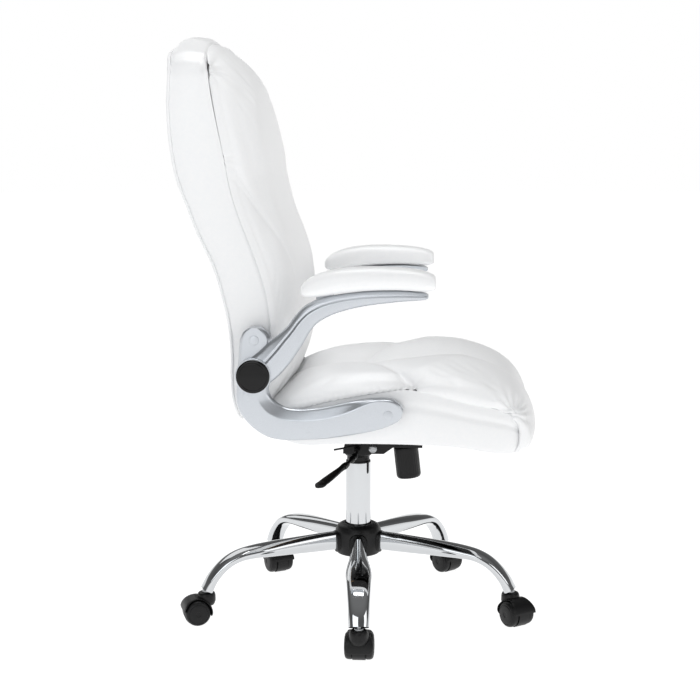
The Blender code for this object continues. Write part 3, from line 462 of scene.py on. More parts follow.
def paint_finish(colour):
    """Black powder coat on pressed steel: semi-matt with a slight orange peel."""
    made, tree, shader, place = finish("black_powder_coat", colour, 0.42, Specular_IOR_Level=0.3)
    # Orange peel ripples are 1 to 2 mm across.
    peel = add(tree, "ShaderNodeTexNoise", {"Scale": 600.0, "Detail": 1.0}, Vector=place)
    bump = add(tree, "ShaderNodeBump", {"Strength": 0.15, "Distance": 0.0004}, Height=peel.outputs["Fac"])
    tree.links.new(bump.outputs["Normal"], shader.inputs["Normal"])
    tone(tree, shader, peel.outputs["Fac"], linear("08080A"), colour)
    wear(tree, shader, peel.outputs["Fac"], 0.36, 0.5)
    return made


def steel_finish(colour):
    """Bright zinc plate on turned steel: soft streaks along the turning."""
    made, tree, shader, place = finish("zinc_plated_steel", colour, 0.3, 1.0)
    streak = add(tree, "ShaderNodeTexNoise", {"Scale": 500.0, "Detail": 2.0}, Vector=place)
    wear(tree, shader, streak.outputs["Fac"], 0.22, 0.4)
    tone(tree, shader, streak.outputs["Fac"], linear("9A9C9E"), colour)
    return made


def plywood_finish(colour):
    """Birch plywood, sanded: pale plies 1.5 mm thick with darker glue lines at the edge."""
    made, tree, shader, place = finish("birch_plywood_sanded", colour, 0.6)
    # One ply each 1.5 mm: the bands repeat along z and are bent a little by noise.
    ply = add(tree, "ShaderNodeTexWave", {"bands_direction": "Z", "Scale": 330.0, "Distortion": 1.5}, Vector=place)
    grain = add(tree, "ShaderNodeTexNoise", {"Scale": 220.0, "Detail": 4.0}, Vector=place)
    bump = add(tree, "ShaderNodeBump", {"Strength": 0.2, "Distance": 0.0005}, Height=grain.outputs["Fac"])
    tree.links.new(bump.outputs["Normal"], shader.inputs["Normal"])
    tone(tree, shader, ply.outputs["Fac"], linear("A9824F"), colour, 0.1, 0.5)
    return made


def lining_finish(colour):
    """Black spun-bonded polypropylene lining: matt, with a fine embossed dot."""
    made, tree, shader, place = finish("spun_lining_cloth", colour, 0.85, Sheen_Weight=0.25, Sheen_Roughness=0.5)
    # Bond dots are 1 mm apart.
    dot = add(tree, "ShaderNodeTexVoronoi", {"Scale": 1000.0}, Vector=place)
    bump = add(tree, "ShaderNodeBump", {"Strength": 0.4, "Distance": 0.0003}, Height=dot.outputs["Distance"])
    tree.links.new(bump.outputs["Normal"], shader.inputs["Normal"])
    tone(tree, shader, dot.outputs["Distance"], linear("0B0B0C"), colour, 0.0, 0.5)
    return made


def floor_finish(colour):
    """Seamless matt white floor, lit from within like a light table so that it stays even far away."""
    made, tree, shader, place = finish("matt_white_floor", colour, 0.9, Specular_IOR_Level=0.1,
                                       Emission_Color=linear("FFFFFF"), Emission_Strength=0.97)
    roller = add(tree, "ShaderNodeTexNoise", {"Scale": 60.0, "Detail": 2.0}, Vector=place)
    tone(tree, shader, roller.outputs["Fac"], linear("989898"), colour)
    return made


FINISHES = {
    "white_leather": lambda c: leather_finish(c.leather),
    "silver_paint": lambda c: silver_finish(c.silver),
    "chrome_plating": lambda c: chrome_finish(c.chrome),
    "black_plastic": lambda c: plastic_finish("black_nylon_moulded", c.plastic, 0.40),
    "gloss_black": lambda c: gloss_finish(c.gloss),
    "black_paint": lambda c: paint_finish(c.paint),
    "bare_steel": lambda c: steel_finish(c.steel),
    "plywood": lambda c: plywood_finish(c.plywood),
    "lining_cloth": lambda c: lining_finish(c.lining),
}
MADE = {}


def material(slot):
    """The material of a slot, made the first time it is asked for."""
    if slot not in MADE:
        MADE[slot] = FINISHES[slot](bpy.context.scene.chair_colours)
    return MADE[slot]


def dress(obj, slot, body, replaces=()):
    """Gives a piece the material of its slot, joins it to its body and hides the imported nodes it stands in for."""
    obj.data.materials.clear()
    obj.data.materials.append(material(slot))
    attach(obj, body)
    if replaces:
        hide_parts(*replaces)
    return obj


# ---------------------------------------------------------------- lines of the seat and back
# Rows are (place along the piece, value, ...) in metres from the column's axis.

SEAT_MIDDLE = (0.08, 0.0)
SEAT_SEAM = (
    (-0.152, 0.438), (-0.120, 0.448), (-0.093, 0.454), (-0.039, 0.468), (0.012, 0.478), (0.057, 0.486),
    (0.100, 0.491), (0.130, 0.487), (0.167, 0.478), (0.221, 0.464), (0.265, 0.455), (0.288, 0.446),
    (0.301, 0.430), (0.306, 0.410), (0.304, 0.390), (0.296, 0.376))
SEAT_CROWN = (
    (-0.156, 0.478), (-0.132, 0.490), (-0.095, 0.501), (-0.025, 0.514), (0.045, 0.519), (0.100, 0.521),
    (0.165, 0.528), (0.217, 0.528), (0.258, 0.520), (0.290, 0.503), (0.315, 0.479), (0.331, 0.450),
    (0.339, 0.420), (0.338, 0.394), (0.327, 0.375), (0.306, 0.367))
SEAT_BOTTOM = (
    (-0.150, 0.396), (-0.097, 0.386), (-0.023, 0.389), (0.116, 0.389), (0.164, 0.387), (0.212, 0.382),
    (0.250, 0.376), (0.300, 0.374))
BACK_SEAM = (
    (0.425, -0.176), (0.460, -0.166), (0.500, -0.154), (0.550, -0.148), (0.600, -0.147), (0.658, -0.154),
    (0.730, -0.176), (0.780, -0.196), (0.829, -0.213), (0.912, -0.230), (0.996, -0.247), (1.036, -0.254),
    (1.081, -0.262), (1.113, -0.270))
BACK_FRONT = (
    (0.425, -0.150), (0.460, -0.139), (0.500, -0.117), (0.550, -0.099), (0.600, -0.095), (0.663, -0.099),
    (0.717, -0.106), (0.760, -0.119), (0.801, -0.135), (0.870, -0.152), (0.915, -0.158), (0.971, -0.171),
    (1.024, -0.187), (1.065, -0.201), (1.097, -0.226), (1.113, -0.247))
BACK_REAR = (
    (0.425, -0.206), (0.460, -0.214), (0.500, -0.217), (0.550, -0.216), (0.600, -0.220), (0.658, -0.232),
    (0.713, -0.249), (0.760, -0.271), (0.810, -0.291), (0.870, -0.312), (0.926, -0.322), (0.986, -0.326),
    (1.068, -0.324), (1.113, -0.330))
WING_LINE = (
    (0.2420, 0.912), (0.2412, 0.902), (0.2388, 0.876), (0.2290, 0.845), (0.215, 0.812), (0.199, 0.775),
    (0.186, 0.730), (0.176, 0.670), (0.172, 0.600), (0.171, 0.520), (0.174, 0.450))


def sewing():
    return bpy.context.scene.chair_sizes


# ---------------------------------------------------------------- seat

def seat_outline(count):
    """Plan of the seat under its top pads: straight sides, rounded corners, a gently bowed front."""
    half = curve(((0.0, -0.149), (0.120, -0.148), (0.185, -0.143), (0.222, -0.126), (0.240, -0.098),
                  (0.247, -0.050), (0.249, 0.020), (0.249, 0.120), (0.249, 0.200), (0.248, 0.255),
                  (0.245, 0.282), (0.237, 0.298), (0.222, 0.304), (0.180, 0.306), (0.0, 0.307)), count)
    left = half[:, ::-1]
    right = left[::-1][1:-1] * (1.0, -1.0)
    return np.concatenate((left, right))


def underside(share, bottom):
    """Height of the seat's underside: flat in the middle, then straight up or down to the boxing's foot."""
    tuck = 0.3768
    return tuck + (bottom - tuck) * np.clip((share - 0.55) / 0.45, 0.0, 1.0)


def seat_boxing():
    """Closed body under the top pads: rings shrink to the middle on both faces, and the side wall
    bows out by boxing_bow x sin(pi x height) with a soft fold along its upper third."""
    bow = sewing().boxing_bow
    rim = seat_outline(150)
    middle = np.array(SEAT_MIDDLE)
    away = outward_of(rim)
    seam = along(SEAT_SEAM[:14], rim[:, 0]) - 0.0012
    bottom = along(SEAT_BOTTOM, rim[:, 0])
    rings = []
    for share in np.linspace(0.05, 1.0, 22)[:-1]:
        rings.append(np.column_stack((middle + (rim - middle) * share, underside(share, bottom))))
    for rise in np.linspace(0.0, 1.0, 26):
        fold = 0.0022 * np.exp(-((rise - 0.70) / 0.07) ** 2) * np.clip((rim[:, 0] - 0.05) / 0.06, 0, 1)
        out = bow * np.sin(math.pi * rise) ** 0.7 - fold
        rings.append(np.column_stack((rim + away * np.broadcast_to(out, len(rim))[:, None],
                                      bottom + (seam - bottom) * rise)))
    for share in np.linspace(1.0, 0.05, 14)[1:]:
        plan = middle + (rim - middle) * share
        z = along(SEAT_SEAM[:14], np.minimum(plan[:, 0], 0.29)) - 0.006
        rings.append(np.column_stack((plan, z)))
    obj = mesh_piece("seat_boxing_cover", *tube_solid(shifted(np.array(rings))))
    gather(obj, shifted((0.290, -0.240, 0.452)), 9, 0.0012, 0.030)
    gather(obj, shifted((0.290, 0.240, 0.452)), 9, 0.0012, 0.030)
    return dress(obj, "white_leather", "seat")


def seat_pads():
    """Top pads as one cover: between the side seam and the crown line each point goes the share
    round_off(across) x round_off(along) of the way, then seams are pulled in."""
    rows, columns = 170, 150
    lengthwise = np.linspace(-1.0, 1.0, rows)
    across = np.sin(np.linspace(-1.0, 1.0, columns) * math.pi / 2 * 0.92) / math.sin(math.pi / 2 * 0.92)
    seam = curve(SEAT_SEAM, rows)
    crown = curve(SEAT_CROWN, rows)
    half = along(((-1.0, 0.228), (-0.85, 0.243), (-0.6, 0.250), (0.0, 0.2515), (0.5, 0.2510), (0.75, 0.249),
                  (0.9, 0.2455), (1.0, 0.240)), lengthwise)
    share = round_off(across, 3.0)[None, :] * round_off(lengthwise, 9.0)[:, None]
    y = half[:, None] * across[None, :]
    top = seam[:, None] + (crown - seam)[:, None] * share[..., None]
    under = seam[:, None] - 0.004 * share[..., None] * np.array((0.35, 1.0))
    sheets = [np.stack((s[..., 0], y, s[..., 1]), axis=-1) for s in (top, under)]
    points, faces = pillow_solid(shifted(sheets[0]), shifted(sheets[1]))
    obj = mesh_piece("seat_top_pads", points, faces)
    rim = np.zeros((rows, columns), bool)
    rim[[0, -1]] = True
    rim[:, [0, -1]] = True
    held = np.ones(len(points), bool)
    held[:rows * columns] = rim.reshape(-1)
    plump(obj, held, sewing().swell)
    shape_seat(obj)
    return dress(obj, "white_leather", "seat", replaces=("seat_cushion",))


def shape_seat(obj):
    """Front petals step up along a V in plan; valleys run down the middle; puckers follow the side seam."""
    points = coordinates(obj)
    x, y, z = points[:, 0] - COLUMN_X, points[:, 1], points[:, 2]
    facing = normals(obj)
    top = np.clip((z - along(SEAT_SEAM[:11], np.clip(x, -0.14, 0.288))) / 0.012, 0.0, 1.0)
    front = np.clip((x - 0.28) / 0.03, 0.0, 1.0)
    top = np.maximum(top, front)
    v_line = 0.004 + 0.110 * (np.abs(y) / 0.25) ** 1.15
    ahead = (x - v_line) * 0.88
    petal = 0.014 * round_off(1.0 - np.clip(ahead / 0.060, 0.0, 1.0), 2.0) - 0.011
    pad = 0.009 * (1.0 - np.exp(-np.maximum(-ahead, 0.0) / 0.016)) - 0.011
    fade = np.exp(-np.maximum(-ahead, 0.0) / 0.10)
    step = np.where(ahead > 0.0, petal, pad * fade)
    valley_depth = along(((-0.15, 0.012), (-0.05, 0.022), (0.0, 0.028), (0.06, 0.034), (0.15, 0.034),
                          (0.25, 0.028), (0.30, 0.018), (0.34, 0.010)), x)
    valley = -valley_depth * (1.0 - np.clip(np.abs(y) / 0.135, 0.0, 1.0)) ** 1.7
    lift = (step + valley) * top
    near_rim = np.exp(-np.clip(0.2515 - np.abs(y), 0.0, 1.0) / 0.006) * (z < 0.50)
    pucker = sewing().pucker * np.sin(2 * math.pi * x / 0.0115 + 1.3 * np.sin(x * 90.0)) * near_rim * (x < 0.12)
    set_coordinates(obj, points + facing * (lift + pucker)[:, None])
    points = coordinates(obj)
    x, z = points[:, 0] - COLUMN_X, points[:, 2]
    points[:, 2] += 0.0045 * np.exp(-((x - 0.262) / 0.012) ** 2) * near_rim * (z < 0.47)
    set_coordinates(obj, points)
    for side in (-1.0, 1.0):
        y = side * np.linspace(0.150, 0.2505, 24)
        v_path = np.column_stack((0.004 + 0.110 * (np.abs(y) / 0.25) ** 1.15, y, np.zeros(24)))
        v_path[:, 2] = along(((0.150, 0.508), (0.200, 0.506), (0.235, 0.499), (0.2505, 0.490)), np.abs(y))
        press_seam(obj, shifted(v_path), 0.004, 0.004)
        gather(obj, shifted((0.112, side * 0.247, 0.492)), 11, 0.0010, 0.026)
        gather(obj, shifted((0.290, side * 0.238, 0.450)), 13, 0.0022, 0.042)


# ---------------------------------------------------------------- back

def back_outline(count):
    """Front view of the back shell: (y, z), an arched top with round shoulders over nearly straight sides."""
    half = curve(((0.0, 0.425), (0.150, 0.425), (0.195, 0.428), (0.222, 0.440), (0.238, 0.465), (0.246, 0.510),
                  (0.2465, 0.600), (0.2440, 0.720), (0.2435, 0.850), (0.2425, 0.960), (0.2410, 1.025),
                  (0.2380, 1.056), (0.2310, 1.073), (0.2180, 1.082), (0.190, 1.088), (0.120, 1.101),
                   (0.0, 1.111)), count)
    return np.concatenate((half, half[::-1][1:-1] * (-1.0, 1.0)))


def back_shell():
    """Closed shell behind the front cushion. Rings grow from the middle of the rear face, cross the
    side boxing, bowed out by sin(pi x depth), and shrink again on the hidden front face."""
    bow = sewing().boxing_bow
    rim = back_outline(170)
    away = outward_of(rim)
    middle = np.array((0.0, 0.80))
    dome = 0.0160 * np.maximum(0.0, away[:, 1]) ** 2 * np.clip((0.225 - np.abs(rim[:, 0])) / 0.09, 0.0, 1.0)
    rings = []
    for share in 1.0 - np.linspace(0.97, 0.0, 44) ** 1.35:
        flat = middle + (rim - middle) * share
        x = along(BACK_REAR, flat[:, 1]) - 0.009 * round_off(share, 3.2)
        rings.append(np.column_stack((x, flat)))
    for depth in np.linspace(0.0, 1.0, 30)[1:]:
        inset = 0.0016 * max(0.0, (depth - 0.94) / 0.06) ** 2
        rise = float(round_off(min(2.0 * depth - 1.0, 0.0), 2.2)) - 0.45 * max(0.0, 2.0 * depth - 1.0) ** 2.2
        flat = rim + away * (bow * math.sin(math.pi * depth) ** 0.75 + dome * rise - inset)[:, None]
        rear, seam = along(BACK_REAR, rim[:, 1]), along(BACK_SEAM, rim[:, 1])
        rings.append(np.column_stack((rear + (seam - rear) * depth, flat)))
    for share in np.linspace(1.0, 0.04, 14)[1:]:
        flat = middle + (rim - middle) * share
        rings.append(np.column_stack((along(BACK_SEAM, flat[:, 1]) - 0.002, flat)))
    obj = mesh_piece("back_shell_cover", *tube_solid(shifted(np.array(rings))))
    for side in (-1.0, 1.0):
        gather(obj, shifted((-0.262, side * 0.228, 1.062)), 9, 0.0016, 0.030)
        gather(obj, shifted((-0.322, side * 0.226, 1.060)), 7, 0.0012, 0.024)
        top_seam = [shifted((x, side * y, z)) for x, y, z in curve(
            ((-0.326, 0.228, 1.072), (-0.312, 0.229, 1.080), (-0.293, 0.229, 1.084), (-0.275, 0.228, 1.082),
             (-0.262, 0.224, 1.077)), 24)]
        press_seam(obj, top_seam, 0.0050, 0.0036)
    return dress(obj, "white_leather", "seat", replaces=("back_core", "back_panel"))


def back_piping():
    """Piping cord sewn along the shell's rear edge."""
    radius = sewing().piping / 2
    rim = back_outline(200)
    path = shifted(np.column_stack((along(BACK_REAR, rim[:, 1]), rim + outward_of(rim) * 0.0021)))
    points, faces = swept(path, radius, radius, up=(1.0, 0.0, 0.0), around=10, loop=True)
    dress(mesh_piece("back_rear_piping", points, faces), "white_leather", "seat")


def front_point(side, y, z, lift=0.0):
    """A point on the front cushion's surface at a place in front view."""
    share = round_off(min(abs(y) / 0.2425, 1.0), 2.7)
    seam, front = along(BACK_SEAM, z), along(BACK_FRONT, z)
    return shifted((float(seam + (front - seam) * share) + lift, side * y, z))


def back_front_cushion():
    """Front cushion: from the boxing seam each point goes forward the share round_off(across) x
    round_off(up) of the cushion's depth at its height; wings and the head pad are sewn in after."""
    rows, columns = 230, 150
    up = np.linspace(-1.0, 1.0, rows)
    across = np.sin(np.linspace(-1.0, 1.0, columns) * math.pi / 2 * 0.9) / math.sin(math.pi / 2 * 0.9)
    low, high = 0.432, 1.116
    level = low + (up + 1.0) / 2 * (high - low)
    arch = 0.022 * np.abs(across) ** 2 + 0.022 * np.abs(across) ** 6
    z = low + (level[:, None] - low) * (1.0 - arch[None, :] / (high - low))
    half = along(((0.432, 0.212), (0.460, 0.236), (0.500, 0.2425), (0.900, 0.2420), (0.960, 0.2405),
                  (1.010, 0.237), (1.050, 0.231), (1.085, 0.222), (1.113, 0.212)), level)
    share = round_off(across, 2.7)[None, :] * round_off(up, 11.0)[:, None]
    depth = (along(BACK_FRONT, level) - along(BACK_SEAM, level))[:, None]
    seam = along(BACK_SEAM, z.reshape(-1)).reshape(z.shape)
    y = half[:, None] * across[None, :]
    standoff = 0.0007 + 0.0030 * np.exp(-((z - 1.064) / 0.016) ** 2) + 0.0008 * np.exp(-((z - 0.70) / 0.10) ** 2)
    sheets = [shifted(np.stack((seam + standoff + (depth - standoff) * share, y, z), axis=-1)),
              shifted(np.stack((seam + standoff - 0.003 * share, y, z), axis=-1))]
    points, faces = pillow_solid(*sheets)
    obj = mesh_piece("back_front_cushion", points, faces)
    rim = np.zeros((rows, columns), bool)
    rim[[0, -1]] = True
    rim[:, [0, -1]] = True
    held = np.ones(len(points), bool)
    held[:rows * columns] = rim.reshape(-1)
    plump(obj, held, sewing().swell)
    sew_back(obj)
    return dress(obj, "white_leather", "seat", replaces=("back_cushion", "head_cushion"))


def sew_back(obj):
    """Wings: outside each wing line the padding drops by depth x exp(-distance / 26 mm), inside it by a
    sharper depth x exp(-distance / 7 mm). A shallow head seam joins the two lines."""
    depth = sewing().seam_depth
    line = curve(WING_LINE, 60)
    for side in (-1.0, 1.0):
        points = coordinates(obj)
        path = np.array([front_point(side, y, z) for y, z in line])
        distance = distance_to(points, path)
        border = np.interp(points[:, 2], line[::-1, 1], line[::-1, 0])
        outside = side * points[:, 1] > border
        strength = np.interp(points[:, 2], (0.44, 0.60, 0.72, 0.82, 0.875, 0.912), (0.2, 0.3, 0.4, 0.8, 0.7, 0.0))
        push = depth * strength * np.exp(-distance / np.where(outside, 0.026, 0.007))
        push *= np.clip((points[:, 0] - COLUMN_X - along(BACK_SEAM, points[:, 2])) / 0.008, 0.0, 1.0)
        set_coordinates(obj, points - normals(obj) * push[:, None])
        sharp = path[(path[:, 2] > 0.835) & (path[:, 2] < 0.905)]
        press_seam(obj, sharp, 0.0060, 0.0036)
        gather(obj, shifted((-0.240, side * 0.222, 1.062)), 11, 0.0020, 0.040, (1, 2))
        gather(obj, shifted((-0.222, side * 0.232, 0.900)), 7, 0.0009, 0.020)
    across = np.linspace(-0.19, 0.19, 40)
    head_line = np.array([front_point(1.0, y, 0.872 + 0.014 * math.cos(y / 0.19 * math.pi / 2)) for y in across])
    press_seam(obj, head_line, 0.25 * depth, 0.016)


# ---------------------------------------------------------------- castings and arms
# Rows are outer edge (x, z), ridge (x, z), inner edge (x, z), from the column's axis.

BRACKET_ROWS = (
    (-0.181, 0.605, -0.166, 0.606, -0.160, 0.605),
    (-0.191, 0.597, -0.156, 0.598, -0.149, 0.598),
    (-0.197, 0.583, -0.148, 0.584, -0.140, 0.584),
    (-0.199, 0.560, -0.147, 0.560, -0.1385, 0.560),
    (-0.203, 0.522, -0.149, 0.520, -0.140, 0.520),
    (-0.205, 0.492, -0.161, 0.492, -0.147, 0.496),
    (-0.2045, 0.471, -0.161, 0.468, -0.142, 0.480),
    (-0.198, 0.451, -0.152, 0.453, -0.131, 0.469),
    (-0.184, 0.432, -0.138, 0.4425, -0.115, 0.461),
    (-0.165, 0.416, -0.118, 0.4365, -0.094, 0.4585),
    (-0.143, 0.4055, -0.097, 0.436, -0.073, 0.4595),
    (-0.112, 0.4015, -0.073, 0.4385, -0.049, 0.4625),
    (-0.075, 0.403, -0.046, 0.4445, -0.025, 0.4675),
    (-0.038, 0.406, -0.019, 0.4545, -0.002, 0.473),
    (0.000, 0.412, 0.008, 0.468, 0.018, 0.4765),
    (0.030, 0.4175, 0.030, 0.4765, 0.036, 0.4795),
    (0.053, 0.4235, 0.053, 0.4795, 0.056, 0.480),
    (0.070, 0.430, 0.073, 0.477, 0.074, 0.478),
    (0.083, 0.437, 0.086, 0.470, 0.087, 0.471),
    (0.0905, 0.4445, 0.0932, 0.461, 0.0936, 0.4615),
)
ARM_ROWS = (
    (-0.152, 0.503, -0.171, 0.523, -0.191, 0.541),
    (-0.143, 0.508, -0.161, 0.528, -0.180, 0.550),
    (-0.126, 0.522, -0.145, 0.544, -0.163, 0.563),
    (-0.109, 0.541, -0.129, 0.562, -0.147, 0.578),
    (-0.096, 0.559, -0.115, 0.580, -0.129, 0.593),
    (-0.083, 0.579, -0.100, 0.599, -0.111, 0.610),
    (-0.071, 0.600, -0.086, 0.618, -0.096, 0.630),
    (-0.057, 0.616, -0.070, 0.633, -0.079, 0.647),
    (-0.035, 0.629, -0.046, 0.6455, -0.053, 0.6595),
    (-0.006, 0.639, -0.016, 0.6535, -0.022, 0.6665),
    (0.028, 0.6465, 0.022, 0.6595, 0.018, 0.6715),
    (0.060, 0.651, 0.057, 0.662, 0.055, 0.6735),
    (0.092, 0.6545, 0.091, 0.663, 0.090, 0.6735),
    (0.117, 0.6565, 0.117, 0.663, 0.117, 0.6715),
    (0.130, 0.6580, 0.131, 0.663, 0.131, 0.6690),
    (0.1365, 0.6605, 0.137, 0.663, 0.137, 0.6655),
)


def ridged_casting(rows, inside, outside, stations=110, groove=0.0):
    """Closed casting: at each station a face runs from the inner edge up to the ridge and down to the outer
    edge, both edges rounded, with a flat back. `inside` and `outside` are y at each station. A line beside
    the ridge sinks by groove x exp(-(distance / 1.6 mm)^2)."""
    line = along(np.column_stack((np.arange(len(rows)), rows)), np.linspace(0, len(rows) - 1, stations))
    outer, ridge, inner = line[:, 0:2], line[:, 2:4], line[:, 4:6]
    inside = np.broadcast_to(inside, stations)
    outside = np.broadcast_to(outside, stations)
    chord = np.linalg.norm(outer - inner, axis=1)
    ridge_at = np.clip(np.linalg.norm(ridge - inner, axis=1) / chord, 0.02, 0.98)
    thick = np.abs(outside - inside)
    rings = []
    for q in np.linspace(0.0, 1.0, 41):
        lower = (q - ridge_at) / (1.0 - ridge_at)
        upper = (ridge_at - q) / ridge_at
        fall = np.where(q > ridge_at, 0.0040 * np.clip(lower, 0, 1) ** 2, 0.0100 * np.clip(upper, 0, 1))
        fall = fall + groove * np.exp(-((q - ridge_at + 0.10) * chord / 0.0016) ** 2)
        fall = fall * np.clip(chord / 0.05, 0.3, 1.0)
        edge = np.minimum(q, 1.0 - q) * chord
        reach = np.minimum(0.006, 0.3 * chord)
        rounded = reach * (1.0 - np.sqrt(np.clip(1.0 - (1.0 - np.clip(edge / reach, 0, 1)) ** 2, 0, 1)))
        height = np.maximum(thick - fall - rounded, 0.25 * thick)
        place = inner + (outer - inner) * q
        rings.append(np.column_stack((place[:, 0], inside + np.sign(outside - inside) * height, place[:, 1])))
    for q in (0.9, 0.5, 0.1):
        place = inner + (outer - inner) * q
        rings.append(np.column_stack((place[:, 0], inside, place[:, 1])))
    return tube_solid(shifted(np.array(rings).transpose(1, 0, 2)))


def cast_bracket(suffix, side):
    """J-shaped bracket from the back's side down under the arm and along the seat, with round screw caps."""
    low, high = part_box(f"bracket_{suffix}")
    inner_y = low.y if side > 0 else high.y
    outer_y = inner_y + side * 0.034
    body = ridged_casting(BRACKET_ROWS, inner_y, outer_y, 150)
    obj = mesh_piece(f"cast_bracket_{suffix}", *body, sharp=60.0)
    dress(obj, "silver_paint", "seat", replaces=(f"bracket_{suffix}",))
    caps = []
    for x, z, sink in ((-0.171, 0.583, 0.0010), (-0.184, 0.483, 0.0020), (-0.075, 0.425, 0.0025),
                       (0.067, 0.450, 0.0015)):
        profile = rounded_profile(((0.0086, -0.004), (0.0086, 0.0014), (0.0006, 0.0019)), 0.0008)
        points, faces = revolved(profile[::-1], 32)
        points = turned_about(points, "x", -side * math.pi / 2)
        caps.append((points + shifted((x, outer_y - side * sink, z)), faces))
    dress(mesh_piece(f"bracket_screw_caps_{suffix}", *merged(caps)), "silver_paint", "seat")


def arm_frame(suffix, side):
    """Arm from its hub up and forward under the pad, with a ridge between two facets."""
    low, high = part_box(f"pivot_cap_{suffix}")
    hub_out = (low.y if side > 0 else high.y) - side * 0.0003
    hub_in = hub_out - side * 0.020
    stations = 120
    share = np.linspace(0.0, 1.0, stations)
    slide = np.clip((share - 0.30) / 0.38, 0.0, 1.0)
    slide = slide * slide * (3 - 2 * slide)
    pad_low, pad_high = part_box(f"arm_pad_{suffix}")
    pad_y = (pad_low.y + pad_high.y) / 2
    outside = hub_out - side * 0.0015 + (pad_y + side * 0.0215 - hub_out) * slide
    inside = hub_in + side * 0.0008 + (pad_y - side * 0.0215 - hub_in) * slide
    frame_part = ridged_casting(ARM_ROWS, inside, outside, stations, 0.0016)
    middle = shifted((-0.171, 0.0, 0.522))
    profile = rounded_profile(((0.0006, -0.0195), (0.0318, -0.0195), (0.0318, 0.0), (0.0006, 0.0)), 0.0010)
    points, faces = revolved(profile, 72)
    points = turned_about(points, "x", -side * math.pi / 2)
    hub = (points + np.array((middle[0], hub_out, middle[2])), faces)
    obj = mesh_piece(f"arm_casting_{suffix}", *merged((frame_part, hub)), sharp=60.0)
    dress(obj, "silver_paint", f"arm_{suffix}", replaces=(f"arm_frame_{suffix}",))
    pivot_cap(suffix, side, (middle[0], hub_out, middle[2]))


def pivot_cap(suffix, side, middle):
    """Polished cap over the pivot: a low dome with a bevelled rim and one sunk ring."""
    profile = np.concatenate((rounded_profile(
        ((0.0298, 0.0), (0.0298, 0.0038), (0.0280, 0.0056), (0.0250, 0.0060), (0.0244, 0.0054), (0.0238, 0.0060),
         (0.0120, 0.0068)), 0.0007), ((0.0060, 0.00705), (0.0008, 0.0071))))
    points, faces = revolved(profile, 96)
    points = turned_about(points, "x", -side * math.pi / 2)
    obj = mesh_piece(f"pivot_knob_{suffix}", points + np.array(middle) + (0.0, side * 0.0003, 0.0), faces, sharp=70.0)
    dress(obj, "gloss_black", f"arm_{suffix}", replaces=(f"pivot_cap_{suffix}",))


def arm_pad(suffix, side):
    """Padded arm rest: superellipse sections from the tail to the nose, swollen as filled cloth."""
    low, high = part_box(f"arm_pad_{suffix}")
    centre_y = (low.y + high.y) / 2
    stations, around = 110, 60
    place = np.sin(np.linspace(-1.0, 1.0, stations) * math.pi / 2 * 0.93) / math.sin(math.pi / 2 * 0.93)
    x = 0.0315 + 0.1185 * place
    upper = along(((-0.087, 0.696), (-0.060, 0.7045), (-0.031, 0.7105), (0.018, 0.7145), (0.069, 0.7140),
                   (0.122, 0.7100), (0.150, 0.7050)), x)
    lower = along(((-0.087, 0.6500), (-0.053, 0.6597), (-0.022, 0.6668), (0.018, 0.6718), (0.055, 0.6738),
                   (0.090, 0.6738), (0.117, 0.6718), (0.150, 0.6680)), x)
    tail, nose = round_off(np.minimum(place, 0.0), 3.2), round_off(np.maximum(place, 0.0), 5.5)
    blunt = np.maximum(tail * nose, 0.05)
    ring = section(around, 3.0)
    rings = np.empty((stations, around, 3))
    rings[..., 0] = x[:, None]
    rings[..., 1] = centre_y + 0.0332 * np.sqrt(blunt)[:, None] * ring[:, 0]
    rings[..., 2] = ((upper + lower) / 2)[:, None] + ((upper - lower) / 2 * blunt)[:, None] * ring[:, 1]
    points, faces = tube_solid(shifted(rings))
    obj = mesh_piece(f"arm_rest_pad_{suffix}", points, faces)
    held = np.zeros(len(points), bool)
    held[:-2].reshape(stations, around)[:, ring[:, 1] < -0.6] = True
    plump(obj, held, 0.35 * sewing().swell)
    seam = shifted(np.column_stack((x, centre_y + side * 0.0332 * np.sqrt(blunt),
                                    lower + 0.3 * (upper - lower) * blunt)))
    press_seam(obj, seam[4:-4:3], 0.0010, 0.0022)
    dress(obj, "white_leather", f"arm_{suffix}", replaces=(f"arm_pad_{suffix}",))


# ---------------------------------------------------------------- base

LEG_ROWS = (
    (0.000, 0.030, 0.1420, 0.0190, 0.0120), (0.021, 0.051, 0.1415, 0.0187, 0.0126),
    (0.070, 0.100, 0.1395, 0.0175, 0.0150), (0.120, 0.150, 0.1375, 0.0155, 0.0188),
    (0.155, 0.185, 0.1358, 0.0137, 0.0228), (0.185, 0.215, 0.1337, 0.0117, 0.0244),
    (0.215, 0.244, 0.1290, 0.0102, 0.0232), (0.243, 0.268, 0.1185, 0.0098, 0.0218),
    (0.268, 0.2865, 0.1035, 0.0100, 0.0205), (0.293, 0.3025, 0.0840, 0.0108, 0.0195),
    (0.315, 0.3122, 0.0655, 0.0118, 0.0187))
LEG_ANGLES = [math.radians(-87.0 + 72.0 * index) for index in range(5)]
STEM_CIRCLE = 0.313
CASTER_TURNS = [math.radians(turn) for turn in (90.0, -56.0, -48.0, -60.0, 199.0)]


def leg_solid():
    """One leg along +X: superellipse rings square to its centre line, which dives to the caster."""
    stations = 90
    table = np.array(LEG_ROWS)
    line = along(table, np.linspace(table[0, 0], table[-1, 0], stations))
    path = np.column_stack((line[:, 0], np.zeros(stations), line[:, 1]))
    return swept(path, line[:, 3], line[:, 2], up=(0.0, 0.0, 1.0), around=48, power=2.5)


